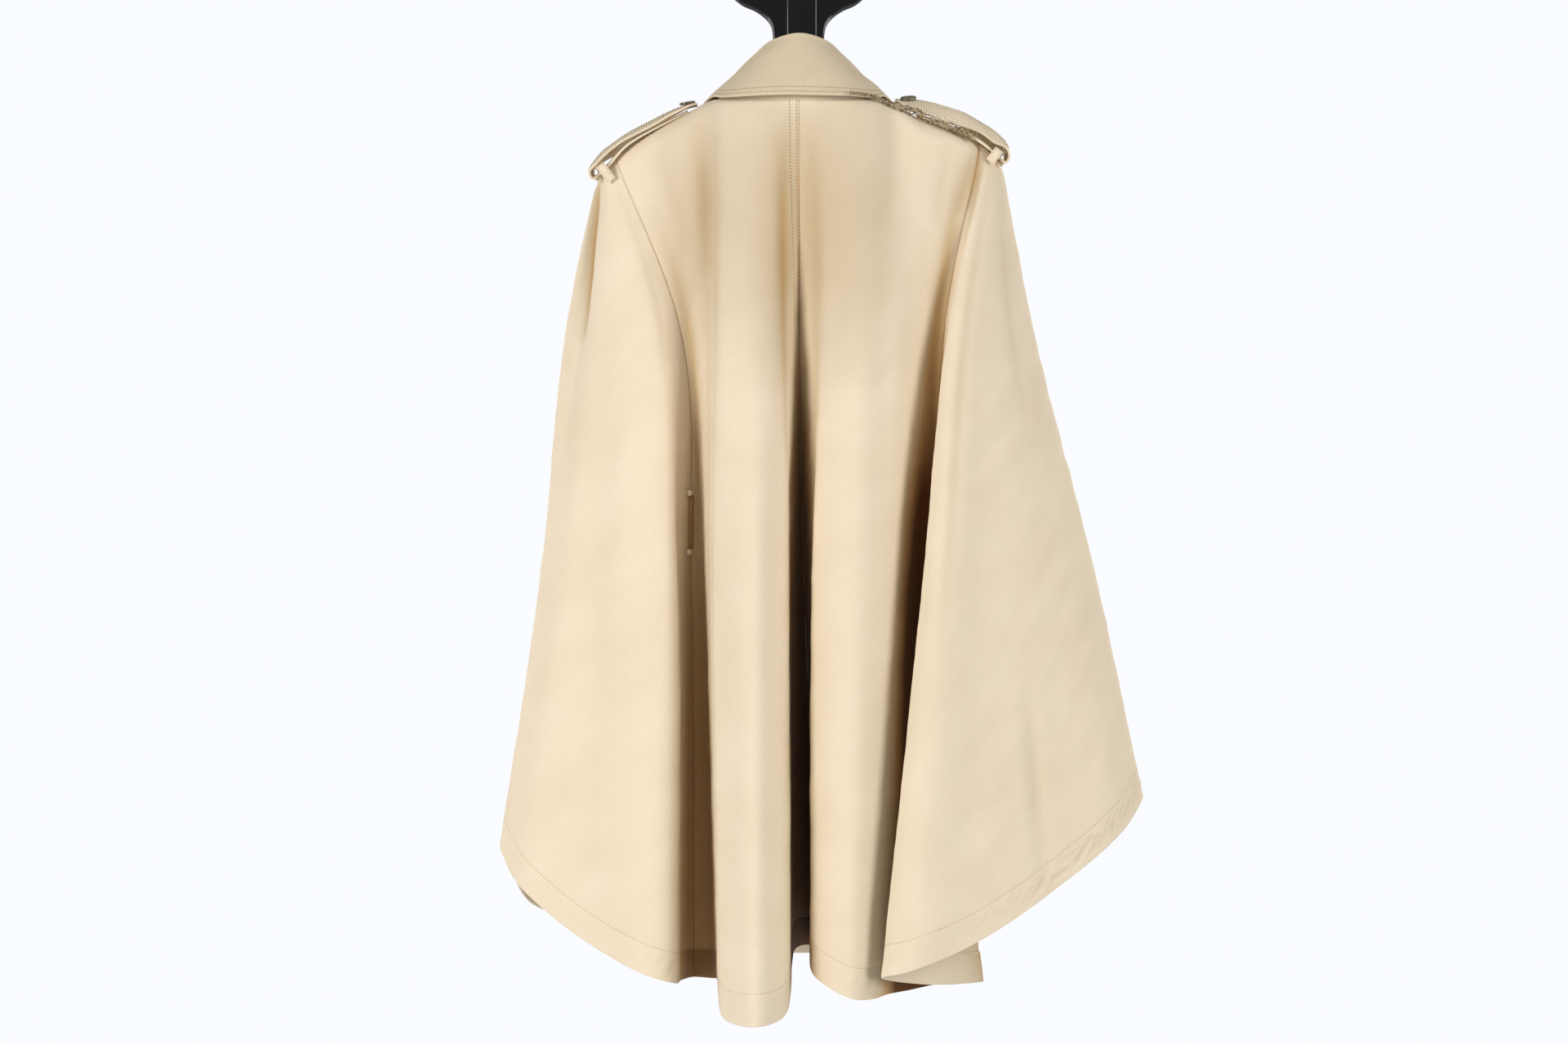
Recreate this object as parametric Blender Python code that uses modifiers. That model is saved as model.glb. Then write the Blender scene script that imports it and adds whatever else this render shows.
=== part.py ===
"""A sleeveless trench cape of cotton gabardine, hung on a glossy black hanger.

Frame: metres, +Z up, +X to the wearer's right, +Y to the wearer's front, so the back faces -Y.
The origin is the inside crown of the hanger's hook, where the hanger bears on its rail.

The cape is one surface that runs round the body from the left front edge to the right one. Each row
of FOLDS is one line of that surface, from the neck or the shoulder seam down to the hem: a ridge, a
valley or a seam. Curves through those lines give every row of the cloth, and PANELS says which lines
bound each cut piece. The collar and the shoulder straps have their own short tables.
Tables are in millimetres.
"""
import math

import bmesh
import bpy
import numpy as np
from mathutils import Vector

MM = 0.001
GAP = 0.3 * MM            # between neighbouring pieces
WALL = 1.6 * MM           # cloth and its turnings
TRIM_WALL = 2.0 * MM      # collar, straps and welts, which are cloth on cloth
ARM_ROUND = 20 * MM       # how far down the cloth rounds over the hanger's arm
ROUND_SHARE = 0.06        # share of a panel's rows that this rounding takes
CHEST_Z = -430 * MM
WAIST_Z = -667 * MM
ROUND_ROWS = 4
DROP_ROWS = 14

# The fold lines, in order round the body. "steps" is how many strips of cloth the span up to the
# next line gets; seam is the line's start on the neck or the shoulder seam, top is where the cloth
# stands once it has rounded over that seam, and chest, waist and hem are points further down.
FOLD_COLUMNS = ("name", "steps", "seam_x", "seam_y", "seam_z", "top_x", "top_y", "chest_x", "chest_y",
                "waist_x", "waist_y", "hem_x", "hem_y", "hem_z")
FOLDS = (
    ("left_edge", 2, 58, 60, -270, 58, 60, 62, 63, 64, 87, 66, 121, -1066),
    ("left_lap", 2, 28, 74, -267, 28, 74, 31, 66, 32, 88, 33, 124, -1067),
    ("left_centre", 2, 0, 78, -264, 0, 79, 0, 67, 0, 89, 0, 125, -1067),
    ("left_breast", 2, -30, 72, -257, -30, 74, -32, 66, -33, 88, -34, 124, -1067),
    ("left_neck", 2, -58, 50, -240, -60, 60, -64, 62, -66, 86, -70, 120, -1065),
    ("left_neck_side", 2, -79, 24, -222, -81, 40, -83, 60, -85, 80, -90, 112, -1063),
    ("left_front_corner", 2, -83, 3, -214, -87, 22, -98, 54, -100, 68, -108, 98, -1060),
    ("left_front_valley", 2, -112, 0, -228.5, -114, 23, -118, 46, -122, 54, -136, 84, -1057),
    ("left_front_seam", 3, -148, 0, -247.5, -148, 22, -148, 46, -152, 64, -178, 98, -1050),
    ("left_front_fold", 3, -172, 0.3, -267, -174, 19, -172, 50, -186, 78, -226, 120, -1034),
    ("left_front_wing", 3, -182, 1.5, -276.5, -187, 16, -196, 42, -222, 62, -273, 102, -1011),
    ("left_wing_turn", 3, -187.5, 1.8, -282, -193, 8, -214, 22, -241, 32, -286, 54, -968),
    ("left_side", 2, -189, 0, -283, -195, 1, -224, 2, -249, 2, -289, 2, -934),
    ("left_groove", 2, -188.3, -1.2, -283, -194, -3, -210, -6, -239, -14, -278, -12, -953),
    ("left_wing_outer", 3, -186.5, -1.8, -281, -192, -7, -199, -26, -226, -28, -262, -26, -971),
    ("left_wing_mid", 3, -184, -1.5, -279, -190, -11, -183, -38, -191, -46, -205, -50, -1010),
    ("left_wing_crest", 3, -181, -1, -276, -187, -14, -160, -47, -149, -62, -145, -76, -1037),
    ("left_wing_inner", 3, -178, -0.7, -273.2, -184, -15, -137, -48, -119, -56, -117, -70, -1047),
    ("left_wing_under", 3, -175, -0.3, -270, -181, -16, -127, -41, -114, -30, -112, -28, -1055),
    ("left_back_seam", 2, -172, 0, -267, -178, -18, -114, -34, -104, -6, -101, -2, -1059),
    ("left_valley", 2, -142, 0, -244.5, -142, -25, -101, -38, -93, -12, -85, -6, -1059),
    ("left_valley_flank", 2, -108, 0, -226, -108, -25, -89, -52, -86, -44, -77, -40, -1052),
    ("left_back_corner", 2, -83, -3, -214, -88, -24, -82, -64, -82, -68, -74, -78, -1057),
    ("left_ridge_outer", 3, -70, -25, -218, -73, -34, -74, -74, -77, -84, -69, -108, -1069),
    ("left_ridge", 3, -42, -41, -222, -44, -47, -41, -80, -40, -104, -40, -136, -1069),
    ("left_ridge_inner", 3, -18, -45, -223, -18, -49, -16, -70, -15, -80, -14, -110, -1066),
    ("left_centre_flank", 3, -8, -46, -223, -8, -48, -8, -58, -8, -36, -5, -22, -1029),
    ("centre_back", 3, 0, -46, -223, 0, -48, 0, -44, 5, 18, 21, 60, -1044),
    ("right_centre_flank", 3, 8, -46, -223, 9, -48, 12, -59, 12, -36, 14, -18, -1027),
    ("right_ridge_inner", 3, 18, -45, -223, 19, -49, 24, -70, 16, -78, 15, -94, -1036),
    ("right_ridge", 3, 45, -41, -222, 48, -47, 54, -79, 49, -96, 46, -112, -1050),
    ("right_ridge_outer", 2, 72, -25, -218, 76, -36, 80, -71, 77, -82, 68, -94, -1055),
    ("right_back_corner", 2, 87, -3, -215, 92, -24, 95, -64, 88, -70, 80, -80, -1055),
    ("right_valley_flank", 2, 115, 0, -231, 116, -26, 111, -52, 101, -42, 102, -54, -1058),
    ("right_valley", 2, 145, 0, -242.5, 148, -24, 126, -40, 116, -18, 140, -20, -1060),
    ("right_back_seam", 4, 170, 0, -254, 176, -18, 138, -38, 136, -17, 175, -16, -1060),
    ("right_wing_under", 4, 173, -0.3, -256, 179, -17, 142, -48, 126, -54, 121, -72, -1048),
    ("right_wing_inner", 4, 176, -0.6, -258, 182, -16, 142, -60, 115, -88, 74, -113, -1031),
    ("right_wing_crest", 3, 179, -1, -260.5, 186, -14, 153, -63, 130, -97, 97, -124, -1023),
    ("right_wing_mid", 3, 182, -1.4, -263, 189, -12, 172, -54, 172, -78, 156, -104, -1004),
    ("right_wing_flat", 3, 184.5, -1.8, -265, 192, -9, 197, -36, 224, -52, 236, -68, -962),
    ("right_wing_outer", 3, 187.3, -1.5, -267.5, 194, -5, 215, -18, 268, -22, 308, -30, -913),
    ("right_side", 3, 189, 0, -269, 195, 0, 226, 2, 286, 2, 333, 2, -886),
    ("right_wing_turn", 3, 187.5, 1.8, -268, 193, 8, 213, 22, 264, 30, 318, 50, -925),
    ("right_front_wing", 3, 182, 1.5, -263, 188, 16, 196, 42, 232, 64, 282, 96, -970),
    ("right_front_fold", 3, 172, 0.3, -255.5, 174, 19, 172, 50, 190, 78, 228, 118, -1005),
    ("right_front_seam", 2, 148, 0, -244, 148, 22, 148, 46, 152, 64, 178, 98, -1048),
    ("right_front_valley", 2, 116, 0, -231.5, 117, 23, 118, 46, 122, 54, 136, 84, -1057),
    ("right_front_corner", 2, 87, 3, -215, 92, 22, 98, 54, 100, 70, 108, 100, -1060),
    ("right_neck_side", 2, 80, 24, -222, 82, 41, 84, 62, 86, 82, 90, 115, -1063),
    ("right_neck", 2, 58, 53, -240, 60, 63, 64, 66, 66, 90, 70, 124, -1065),
    ("right_breast", 2, 30, 76, -257, 30, 78, 32, 70, 33, 92, 34, 128, -1067),
    ("right_centre", 2, 0, 82, -264, 0, 83, 0, 71, 0, 93, 0, 129, -1067),
    ("right_lap", 2, -28, 78, -267, -28, 78, -31, 70, -32, 92, -33, 128, -1067),
    ("right_edge", 0, -58, 64, -270, -58, 64, -62, 67, -64, 91, -66, 125, -1066),
)
PANELS = (
    ("front_left", "left_edge", "left_front_seam"),
    ("side_left", "left_front_seam", "left_back_seam"),
    ("back_left", "left_back_seam", "centre_back"),
    ("back_right", "centre_back", "right_back_seam"),
    ("side_right", "right_back_seam", "right_front_seam"),
    ("front_right", "right_front_seam", "right_edge"),
)

# The collar's right half, from the back centre to the front end; the left half mirrors it. The stand
# rises from the neck seam to the fold, and the fall turns down from the fold to its outer edge.
COLLAR_COLUMNS = ("name", "neck_x", "neck_y", "neck_z", "fold_x", "fold_y", "fold_z",
                  "edge_x", "edge_y", "edge_z")
COLLAR = (
    ("back_centre", 0, -45, -222.5, 0, -20, -153, 0, -52, -219),
    ("back", 30, -42, -221.9, 25.5, -12, -157.5, 42, -49, -219),
    ("back_side", 62, -29, -218.8, 41, 1, -167, 72, -34, -217),
    ("side", 80.5, 0, -213.8, 59, 18, -181, 84.5, -5, -210),
    ("shoulder", 79, 14, -216.5, 65, 30, -190, 95, 15, -218),
    ("front_side", 74, 29, -223.5, 67, 44, -200, 98, 34, -238),
    ("front", 56, 55, -239.5, 54, 68, -226, 88, 60, -288),
    ("point_side", 29, 79, -256.5, 30, 88, -246, 60, 84, -318),
    ("front_end", 3, 86, -263.5, 5, 93, -256, 40, 88, -328),
)
COLLAR_STATIONS = 3         # per span of the table
COLLAR_ROLL = 2.4 * MM      # radius of the fall's roll over the fold
COLLAR_SEAM_DEPTH = 2 * MM  # how far inside the fold the fall is sewn to the stand
COLLAR_BULGE = 2 * MM       # how far the fall bows outwards between fold and edge

# The shoulder straps, seen from behind: the top layer from its pointed neck end out over the
# shoulder, round the end, and back under itself along the shoulder. "half" is half the strap's
# width, "back_drop" is how much lower its back edge lies than its front edge, and "curl" is how far
# both edges droop below its middle.
STRAP_COLUMNS = ("x", "z", "half", "back_drop", "curl")
STRAPS = {
    "left": ((-98, -216.5, 5, 0, 0), (-104.5, -217.2, 12, 4, 1), (-111, -218.6, 17, 7.5, 2.2),
             (-124.6, -224, 19, 7.6, 4.1), (-140.4, -231.8, 20, 8.3, 5.5), (-156, -239.8, 20, 7.3, 5.9),
             (-168, -247, 20, 5, 6.2), (-179, -255, 20, 3.5, 7), (-187.7, -261, 20, 6, 7.5),
             (-194, -267.8, 20, 8, 6), (-198.8, -274.5, 20, 9, 4), (-200.3, -280, 20, 8, 3),
             (-198.8, -284.5, 20, 7, 3), (-195.5, -285.5, 19, 6, 3), (-190.5, -281.3, 18, 5, 4),
             (-183.5, -274.3, 18, 4, 5), (-177, -266.5, 17.5, 4, 5), (-167, -256.5, 17, 3, 4),
             (-155, -247.5, 16, 3, 4), (-137, -238.3, 15, 3, 3), (-114, -226.6, 10, 2, 2)),
    "right": ((94, -212.5, 5, 5, 0), (101, -213, 12, 10, 2.5), (112, -212.6, 16, 14, 6),
              (127.5, -215.2, 16, 15, 8.5), (143.5, -219.6, 16, 13, 12), (159.5, -224.8, 16, 6.5, 14),
              (175, -234, 16.5, 2, 13), (187, -241.5, 17, 2, 14.5), (194.8, -248.7, 18, 1, 11),
              (199.3, -254.5, 18, 2, 7.5), (201, -261.5, 18, 4, 4), (201, -267, 18, 5, 2.5),
              (197.5, -272, 18, 4, 2), (191.5, -266.3, 18, 3, 3), (184.5, -259.5, 18, 3, 4.3),
              (173, -250.5, 17, 3, 4), (157.5, -241.5, 16, 3, 4), (143.5, -236.7, 15, 3, 4),
              (115, -226, 10, 2, 3)),
}
STRAP_CENTRE_Y = -3 * MM

# The loops that hold the straps' outer ends. Each arches over the strap's under layer, inside its
# fold: x and z of the middle of the layer there, its slope in degrees, and how far the loop's back
# leg reaches down from it. The arch's own section is across the strap and out from it.
LOOPS = {"left": (-189.1, -280.1, 37, 17), "right": (190.6, -265.4, -38, 13)}
LOOP_SECTION = ((24, -9), (23, -4), (22, 0), (18, 1.8), (9, 2.6), (0, 2.8),
                (-9, 2.6), (-18, 1.8), (-22, 0), (-23, -4), (-22.5, -8))
LOOP_FOOT_ACROSS = -20.5   # where the back leg ends
LOOP_WIDTH = 9 * MM
LOOP_WALL = 1.2 * MM

BUTTON_RADIUS = 13 * MM
BUTTON_HEIGHT = 4 * MM
BUTTON_COLUMNS_X = (42 * MM, -42 * MM)
BUTTON_ROWS_Z = (-430 * MM, -545 * MM, -660 * MM)
STRAP_BUTTON_RADIUS = 8 * MM
STRAP_BUTTON_HEIGHT = 2.4 * MM
STRAP_BUTTON_ROW = 3        # of the strap's points, near the neck

SLIT_TOP_Z = -594 * MM
SLIT_BOTTOM_Z = -644 * MM
WELT_WIDTH = 7 * MM
WELT_WALL = 1.0 * MM
STUD_STEP = 0.06           # rows beyond the welt's ends
STUD_ASIDE = 6 * MM        # from the seam
STUD_RADIUS = 3.2 * MM
STUD_HEIGHT = 1.6 * MM

HOOK_RADIUS = 20 * MM      # of the wire's centre line
HOOK_WIRE = 2 * MM
HOOK_TURN = (-60, 190)     # degrees round the circle, from the stem to the open end
HOOK_POINTS = 26
# The hook's stem, from the head's top into the circle: x and height.
HOOK_STEM = ((0, -57.7), (0, -49), (1.2, -43.5), (5, -38.6))
# The head's half outline, from its shoulder in the collar up to the top: half width and height.
HEAD_PROFILE = ((24, -185), (24, -170), (25, -150), (27, -139), (33, -131), (43, -124),
                (56, -118), (66, -108), (69, -94), (66, -78), (56, -67), (38, -61), (18, -58))
HEAD_HALF_DEPTH = 7 * MM
# The corners of its section with their bevels, as shares of the half width and half depth.
HEAD_CORNERS = ((-1, -0.6), (-0.94, -1), (0.94, -1), (1, -0.6),
                (1, 0.6), (0.94, 1), (-0.94, 1), (-1, 0.6))
TONGUE_HALF_WIDTH = 15 * MM
TONGUE_DEPTH = 2.4 * MM
TONGUE_OFFSET = 3 * MM     # its middle, to the right of the head's
TONGUE_BOTTOM_Z = -168 * MM
TONGUE_TOP_Z = -84 * MM
TONGUE_RINGS = 8
# The corners of its section: half widths, and depths out from the head.
TONGUE_CORNERS = ((-1, 0), (1, 0), (0.92, -1), (-0.92, -1))
# The hanger's arm, from the middle to the tip: x, top height and half depth.
ARM_PROFILE = ((0, -186, 9), (30, -191, 11), (62, -206, 13), (95, -225, 15), (130, -245, 15),
               (155, -260, 13), (168, -271, 8))
ARM_THICKNESS = 13 * MM
ARM_SIDES = 12

CLOTH_COLOUR = (0.716, 0.597, 0.420)
BUTTON_COLOUR = (0.17, 0.14, 0.09)
STUD_COLOUR = (0.70, 0.60, 0.45)
HANGER_COLOUR = (0.008, 0.008, 0.009)
STEEL_COLOUR = (0.62, 0.62, 0.64)


def material(name, colour, roughness, metallic=0.0):
    """A Principled material in one colour."""
    made = bpy.data.materials.new(name)
    made.use_nodes = True
    shader = made.node_tree.nodes["Principled BSDF"]
    shader.inputs["Base Color"].default_value = (*colour, 1.0)
    shader.inputs["Roughness"].default_value = roughness
    shader.inputs["Metallic"].default_value = metallic
    return made


def column(table, names, *wanted):
    """The wanted columns of a table in metres, as an array with a row for each table row."""
    places = [names.index(name) for name in wanted]
    return np.array([[row[place] for place in places] for row in table], dtype=float) * MM


def curve_through(knots, values, at):
    """Smooth curves through values (knots x curves x 3), read at the same parameter as the knots.

    Each span is a cubic whose end slopes are those of the parabola through a knot and its two
    neighbours, so the curve keeps close to straight between knots that lie in line.
    """
    widths = np.diff(knots, axis=0)[..., None]
    slopes = np.diff(values, axis=0) / widths
    ends = np.concatenate([slopes[:1], slopes, slopes[-1:]])
    spans = np.concatenate([widths[:1], widths, widths[-1:]])
    tangents = (ends[:-1] * spans[1:] + ends[1:] * spans[:-1]) / (spans[:-1] + spans[1:])
    index = (at[:, None] > knots[None, 1:-1]).sum(axis=1)
    curves = np.arange(knots.shape[1])[None, :]
    width = widths[index, curves]
    part = ((at - knots[index, curves]) / width[..., 0])[..., None]
    start, end = values[index, curves], values[index + 1, curves]
    leave, arrive = tangents[index, curves] * width, tangents[index + 1, curves] * width
    cubed, squared = part ** 3, part ** 2
    return (start * (2 * cubed - 3 * squared + 1) + end * (3 * squared - 2 * cubed)
            + leave * (cubed - 2 * squared + part) + arrive * (cubed - squared))


def fold_lines(shares):
    """Points down every fold line at the given shares of its length: shares x folds x 3.

    The plan position follows a curve through top, chest, waist and hem. Over the first rows it
    leaves the seam along a quarter ellipse, which is the cloth rounding over the hanger's arm.
    """
    seam = column(FOLDS, FOLD_COLUMNS, "seam_x", "seam_y", "seam_z")
    plan = np.stack([column(FOLDS, FOLD_COLUMNS, level + "_x", level + "_y")
                     for level in ("top", "chest", "waist", "hem")])
    hem_z = column(FOLDS, FOLD_COLUMNS, "hem_z")[:, 0]
    heights = np.stack([seam[:, 2], np.full(len(FOLDS), CHEST_Z),
                        np.full(len(FOLDS), WAIST_Z), hem_z])
    shares = np.asarray(shares, dtype=float)[:, None]
    angle = np.clip(shares / ROUND_SHARE, 0, 1) * math.pi / 2
    below = np.clip((shares - ROUND_SHARE) / (1 - ROUND_SHARE), 0, 1)
    drop = ARM_ROUND * (1 - np.cos(angle)) + (seam[:, 2] - hem_z - ARM_ROUND) * below
    height = seam[:, 2] - drop
    body = curve_through(-heights, plan, -height)
    spot = seam[None, :, :2] + np.sin(angle)[..., None] * (body - seam[None, :, :2])
    return np.concatenate([spot, height[..., None]], axis=-1)


def cape_surface(places, shares):
    """The cape's surface at fold places (0 is the first fold, 1 the next) and shares down to the hem.

    Across the folds each row is a smooth curve through the fold lines, its parameter growing with
    the square root of the distance between them, which keeps tight folds from looping.
    """
    lines = fold_lines(shares).swapaxes(0, 1)
    steps = np.sqrt(np.maximum(np.linalg.norm(np.diff(lines, axis=0), axis=-1), 0.5 * MM))
    knots = np.concatenate([np.zeros((1, steps.shape[1])), np.cumsum(steps, axis=0)])
    places = np.asarray(places, dtype=float)
    first = np.clip(np.floor(places).astype(int), 0, len(FOLDS) - 2)
    part = (places - first)[:, None]
    at = knots[first] * (1 - part) + knots[first + 1] * part
    return curve_through(knots, lines, at).swapaxes(0, 1)


def fold_place(name):
    """A fold's place in the FOLDS table."""
    return [row[0] for row in FOLDS].index(name)


def fold_column(name):
    """The column of the panels' grid that lies on a fold line."""
    return sum(row[1] for row in FOLDS[:fold_place(name)])


def surface_normals(points):
    """Unit normals of a grid of points. On the cape they point away from the wearer."""
    normals = np.cross(np.gradient(points, axis=0), np.gradient(points, axis=1))
    return normals / np.maximum(np.linalg.norm(normals, axis=-1, keepdims=True), 1e-12)


def link(name, mesh, surface_material):
    """An object of a mesh, in the cape's collection."""
    made = bpy.data.objects.new(name, mesh)
    mesh.materials.append(surface_material)
    COLLECTION.objects.link(made)
    return made


def cloth(name, points, thickness, surface_material, normals=None):
    """A wall of cloth: two sheets, half the thickness either side of a grid of points, and the rim
    between them. The normals are the grid's own unless those of a larger surface are given.
    """
    if normals is None:
        normals = surface_normals(points)
    sheets = np.stack([points + normals * thickness / 2, points - normals * thickness / 2])
    index = np.arange(points[..., 0].size).reshape(points.shape[:2])
    outer = np.stack([index[:-1, :-1], index[:-1, 1:], index[1:, 1:], index[1:, :-1]], axis=-1)
    outer = outer.reshape(-1, 4)[:, ::-1]
    inner = outer[:, [0, 3, 2, 1]] + index.size
    border = np.concatenate([index[0, :-1], index[:-1, -1], index[-1, :0:-1], index[:0:-1, 0]])
    beside = np.roll(border, -1)
    rim = np.stack([border, beside, beside + index.size, border + index.size], axis=-1)
    mesh = bpy.data.meshes.new(name)
    mesh.from_pydata(sheets.reshape(-1, 3).tolist(), [], np.concatenate([outer, inner, rim]).tolist())
    mesh.update()
    link(name, mesh, surface_material)


def loft(name, rings, surface_material):
    """A closed solid through rings of points, with flat ends."""
    count, around = rings.shape[:2]
    index = np.arange(count * around).reshape(count, around)
    beside = np.roll(index, -1, axis=1)
    sides = np.stack([index[:-1], beside[:-1], beside[1:], index[1:]], axis=-1).reshape(-1, 4)
    faces = sides.tolist() + [index[0][::-1].tolist(), index[-1].tolist()]
    mesh = bpy.data.meshes.new(name)
    mesh.from_pydata(rings.reshape(-1, 3).tolist(), [], faces)
    shape = bmesh.new()
    shape.from_mesh(mesh)
    bmesh.ops.recalc_face_normals(shape, faces=shape.faces)
    shape.to_mesh(mesh)
    shape.free()
    return link(name, mesh, surface_material)


def disc(name, radius, height, base, normal, surface_material, segments=16):
    """A button: a cylinder with a bevelled rim that stands on a point, along a normal."""
    mesh = bpy.data.meshes.new(name)
    shape = bmesh.new()
    bmesh.ops.create_cone(shape, cap_ends=True, segments=segments, radius1=radius, radius2=radius,
                          depth=height)
    shape.to_mesh(mesh)
    shape.free()
    made = link(name, mesh, surface_material)
    made.location = base + normal * (height / 2)
    made.rotation_mode = 'QUATERNION'
    made.rotation_quaternion = normal.to_track_quat('Z', 'Y')
    rim = made.modifiers.new("rim", 'BEVEL')
    rim.width = height * 0.3
    rim.segments = 1
    rim.limit_method = 'ANGLE'
    return made


def cape_grid():
    """The cape's surface as the grid of points that its panels share."""
    shares = np.concatenate([np.linspace(0, ROUND_SHARE, ROUND_ROWS, endpoint=False),
                             np.linspace(ROUND_SHARE, 1, DROP_ROWS)])
    places = [place + step / row[1] for place, row in enumerate(FOLDS) for step in range(row[1])]
    return cape_surface(places + [len(FOLDS) - 1], shares)


def build_panels(surface, normals, surface_material):
    """The six cut panels, each one stretch of the cape's surface between two seams."""
    for name, first, last in PANELS:
        start, end = fold_column(first), fold_column(last)
        points = pull_in(pull_in(surface[:, start:end + 1], 1), -1)
        facing = normals[:, start:end + 1].copy()
        top_step = points[1] - points[0]
        points[0] += top_step / np.linalg.norm(top_step, axis=-1, keepdims=True) * GAP / 2
        if not name.startswith("side"):
            keep_to_own_side(points[0], facing[0], 1 if name.startswith("front") else -1)
        cloth(name, points, WALL, surface_material, facing)


def keep_to_own_side(top_edge, facing, side):
    """Hold a top edge half a gap from the shoulder seam's plane, its cut end square to the seam."""
    on_seam = np.abs(top_edge[:, 1]) < 2 * MM
    top_edge[:, 1] = side * np.maximum(side * top_edge[:, 1], GAP / 2)
    facing[on_seam, 1] = 0
    facing /= np.linalg.norm(facing, axis=-1, keepdims=True)


def pull_in(points, direction):
    """The grid with one end column moved half a seam gap towards its neighbour."""
    moved = points.copy()
    end, neighbour = (0, 1) if direction > 0 else (-1, -2)
    step = points[:, neighbour] - points[:, end]
    moved[:, end] += step / np.linalg.norm(step, axis=-1, keepdims=True) * GAP / 2
    return moved


def collar_lines():
    """Neck, fold and edge lines of the whole collar, from the left front end to the right one."""
    lines = []
    for part in ("neck", "fold", "edge"):
        right = column(COLLAR, COLLAR_COLUMNS, part + "_x", part + "_y", part + "_z")
        left = right[:0:-1] * (-1, 1, 1)
        line = np.concatenate([left, right])[:, None, :]
        knots = np.arange(len(line), dtype=float)[:, None]
        at = np.linspace(0, len(line) - 1, (len(line) - 1) * COLLAR_STATIONS + 1)[:, None]
        lines.append(curve_through(knots, line, at)[:, 0])
    return lines


def build_collar(surface_material):
    """The stand and the fall. The fall rolls over the fold and bows out on its way down."""
    neck, fold, edge = collar_lines()
    up = np.array([0.0, 0.0, 1.0])
    outward = np.cross(up, np.gradient(fold, axis=0))
    outward /= -np.linalg.norm(outward, axis=-1, keepdims=True)
    centre = fold - up * COLLAR_ROLL
    inside = centre - outward * COLLAR_ROLL
    seam = inside - up * COLLAR_SEAM_DEPTH
    below = seam - up * COLLAR_SEAM_DEPTH
    stand = [below * (1 - part) + neck * part for part in np.linspace(0, 1, 4)]
    cloth("collar_stand", np.stack([seam - up * GAP] + stand), WALL, surface_material)
    roll = [seam] + [centre + COLLAR_ROLL * (up * math.sin(angle) - outward * math.cos(angle))
                     for angle in np.linspace(0, math.pi, 5)]
    outer = roll[-1]
    fall = [outer * (1 - part) + edge * part + (outward + up) * COLLAR_BULGE * part * (1 - part) * 2
            for part in np.linspace(0, 1, 5)[1:]]
    cloth("collar_fall", np.stack(roll + fall), TRIM_WALL, surface_material)


def strap_points(side, across=5):
    """The strap's middle surface: along its length, and across from the back edge to the front."""
    table = STRAPS[side]
    line = column(table, STRAP_COLUMNS, "x", "z", "half", "back_drop", "curl")[:, None, :]
    knots = np.arange(len(line), dtype=float)[:, None]
    at = np.linspace(0, len(line) - 1, 2 * len(line) - 1)[:, None]
    x, z, half, drop, curl = np.moveaxis(curve_through(knots, line, at)[:, 0], -1, 0)
    part = np.linspace(-1, 1, across)
    return np.stack([np.repeat(x[:, None], across, axis=1),
                     STRAP_CENTRE_Y + half[:, None] * part,
                     z[:, None] + drop[:, None] / 2 * part - curl[:, None] * part ** 2], axis=-1)


def build_straps(surface_material, button_material):
    """The shoulder straps with their buttons and loops."""
    for side in STRAPS:
        points = strap_points(side)
        cloth("epaulette_" + side, points, TRIM_WALL, surface_material)
        middle = points.shape[1] // 2
        seat = Vector(points[STRAP_BUTTON_ROW, middle])
        along = Vector(points[STRAP_BUTTON_ROW + 1, middle] - points[STRAP_BUTTON_ROW - 1, middle])
        across = Vector(points[STRAP_BUTTON_ROW, middle + 1] - points[STRAP_BUTTON_ROW, middle - 1])
        normal = along.cross(across).normalized()
        normal *= math.copysign(1, normal.z)
        disc("epaulette_button_" + side, STRAP_BUTTON_RADIUS, STRAP_BUTTON_HEIGHT,
             seat + normal * (TRIM_WALL / 2 + GAP), normal, button_material)
        build_strap_loop(side, surface_material)


def build_strap_loop(side, surface_material):
    """A band that arches over the strap from the cloth before it to the cloth behind it."""
    x, z, slope, leg = LOOPS[side]
    tilt = math.radians(slope)
    out = np.array([-math.sin(tilt), 0.0, math.cos(tilt)])
    along = np.array([math.cos(tilt), 0.0, math.sin(tilt)])
    section = np.array((*LOOP_SECTION, (LOOP_FOOT_ACROSS, -leg))) * MM
    arch = (np.array([x * MM, STRAP_CENTRE_Y, z * MM]) + section[:, 1:] * out
            + section[:, :1] * np.array([0.0, 1.0, 0.0]))
    band = np.stack([arch + along * part * LOOP_WIDTH for part in (-0.5, 0, 0.5)])
    cloth("epaulette_loop_" + side, band, LOOP_WALL, surface_material)


def sample(grid, columns, rows):
    """A grid of points read at fractional columns and rows, straight between its own points."""
    rows, columns = np.meshgrid(rows, columns, indexing="ij")
    row = np.clip(rows.astype(int), 0, grid.shape[0] - 2)
    col = np.clip(columns.astype(int), 0, grid.shape[1] - 2)
    down, across = (rows - row)[..., None], (columns - col)[..., None]
    upper = grid[row, col] * (1 - across) + grid[row, col + 1] * across
    lower = grid[row + 1, col] * (1 - across) + grid[row + 1, col + 1] * across
    return upper * (1 - down) + lower * down


def row_at(surface, across, height):
    """The fractional row at which a column of the surface reaches a height."""
    return np.interp(-height, -surface[:, across, 2], np.arange(len(surface)))


def column_at(surface, first, last, row, x):
    """The fractional column between two columns at which a row of the surface crosses an x."""
    columns = np.linspace(first, last, 12 * (last - first) + 1)
    spots = sample(surface, columns, [row])[0, :, 0]
    return columns[np.argmin(np.abs(spots - x))]


def seat(surface, normals, across, row):
    """A point of the surface and its outward normal."""
    normal = Vector(sample(normals, [across], [row])[0, 0]).normalized()
    return Vector(sample(surface, [across], [row])[0, 0]), normal


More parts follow.
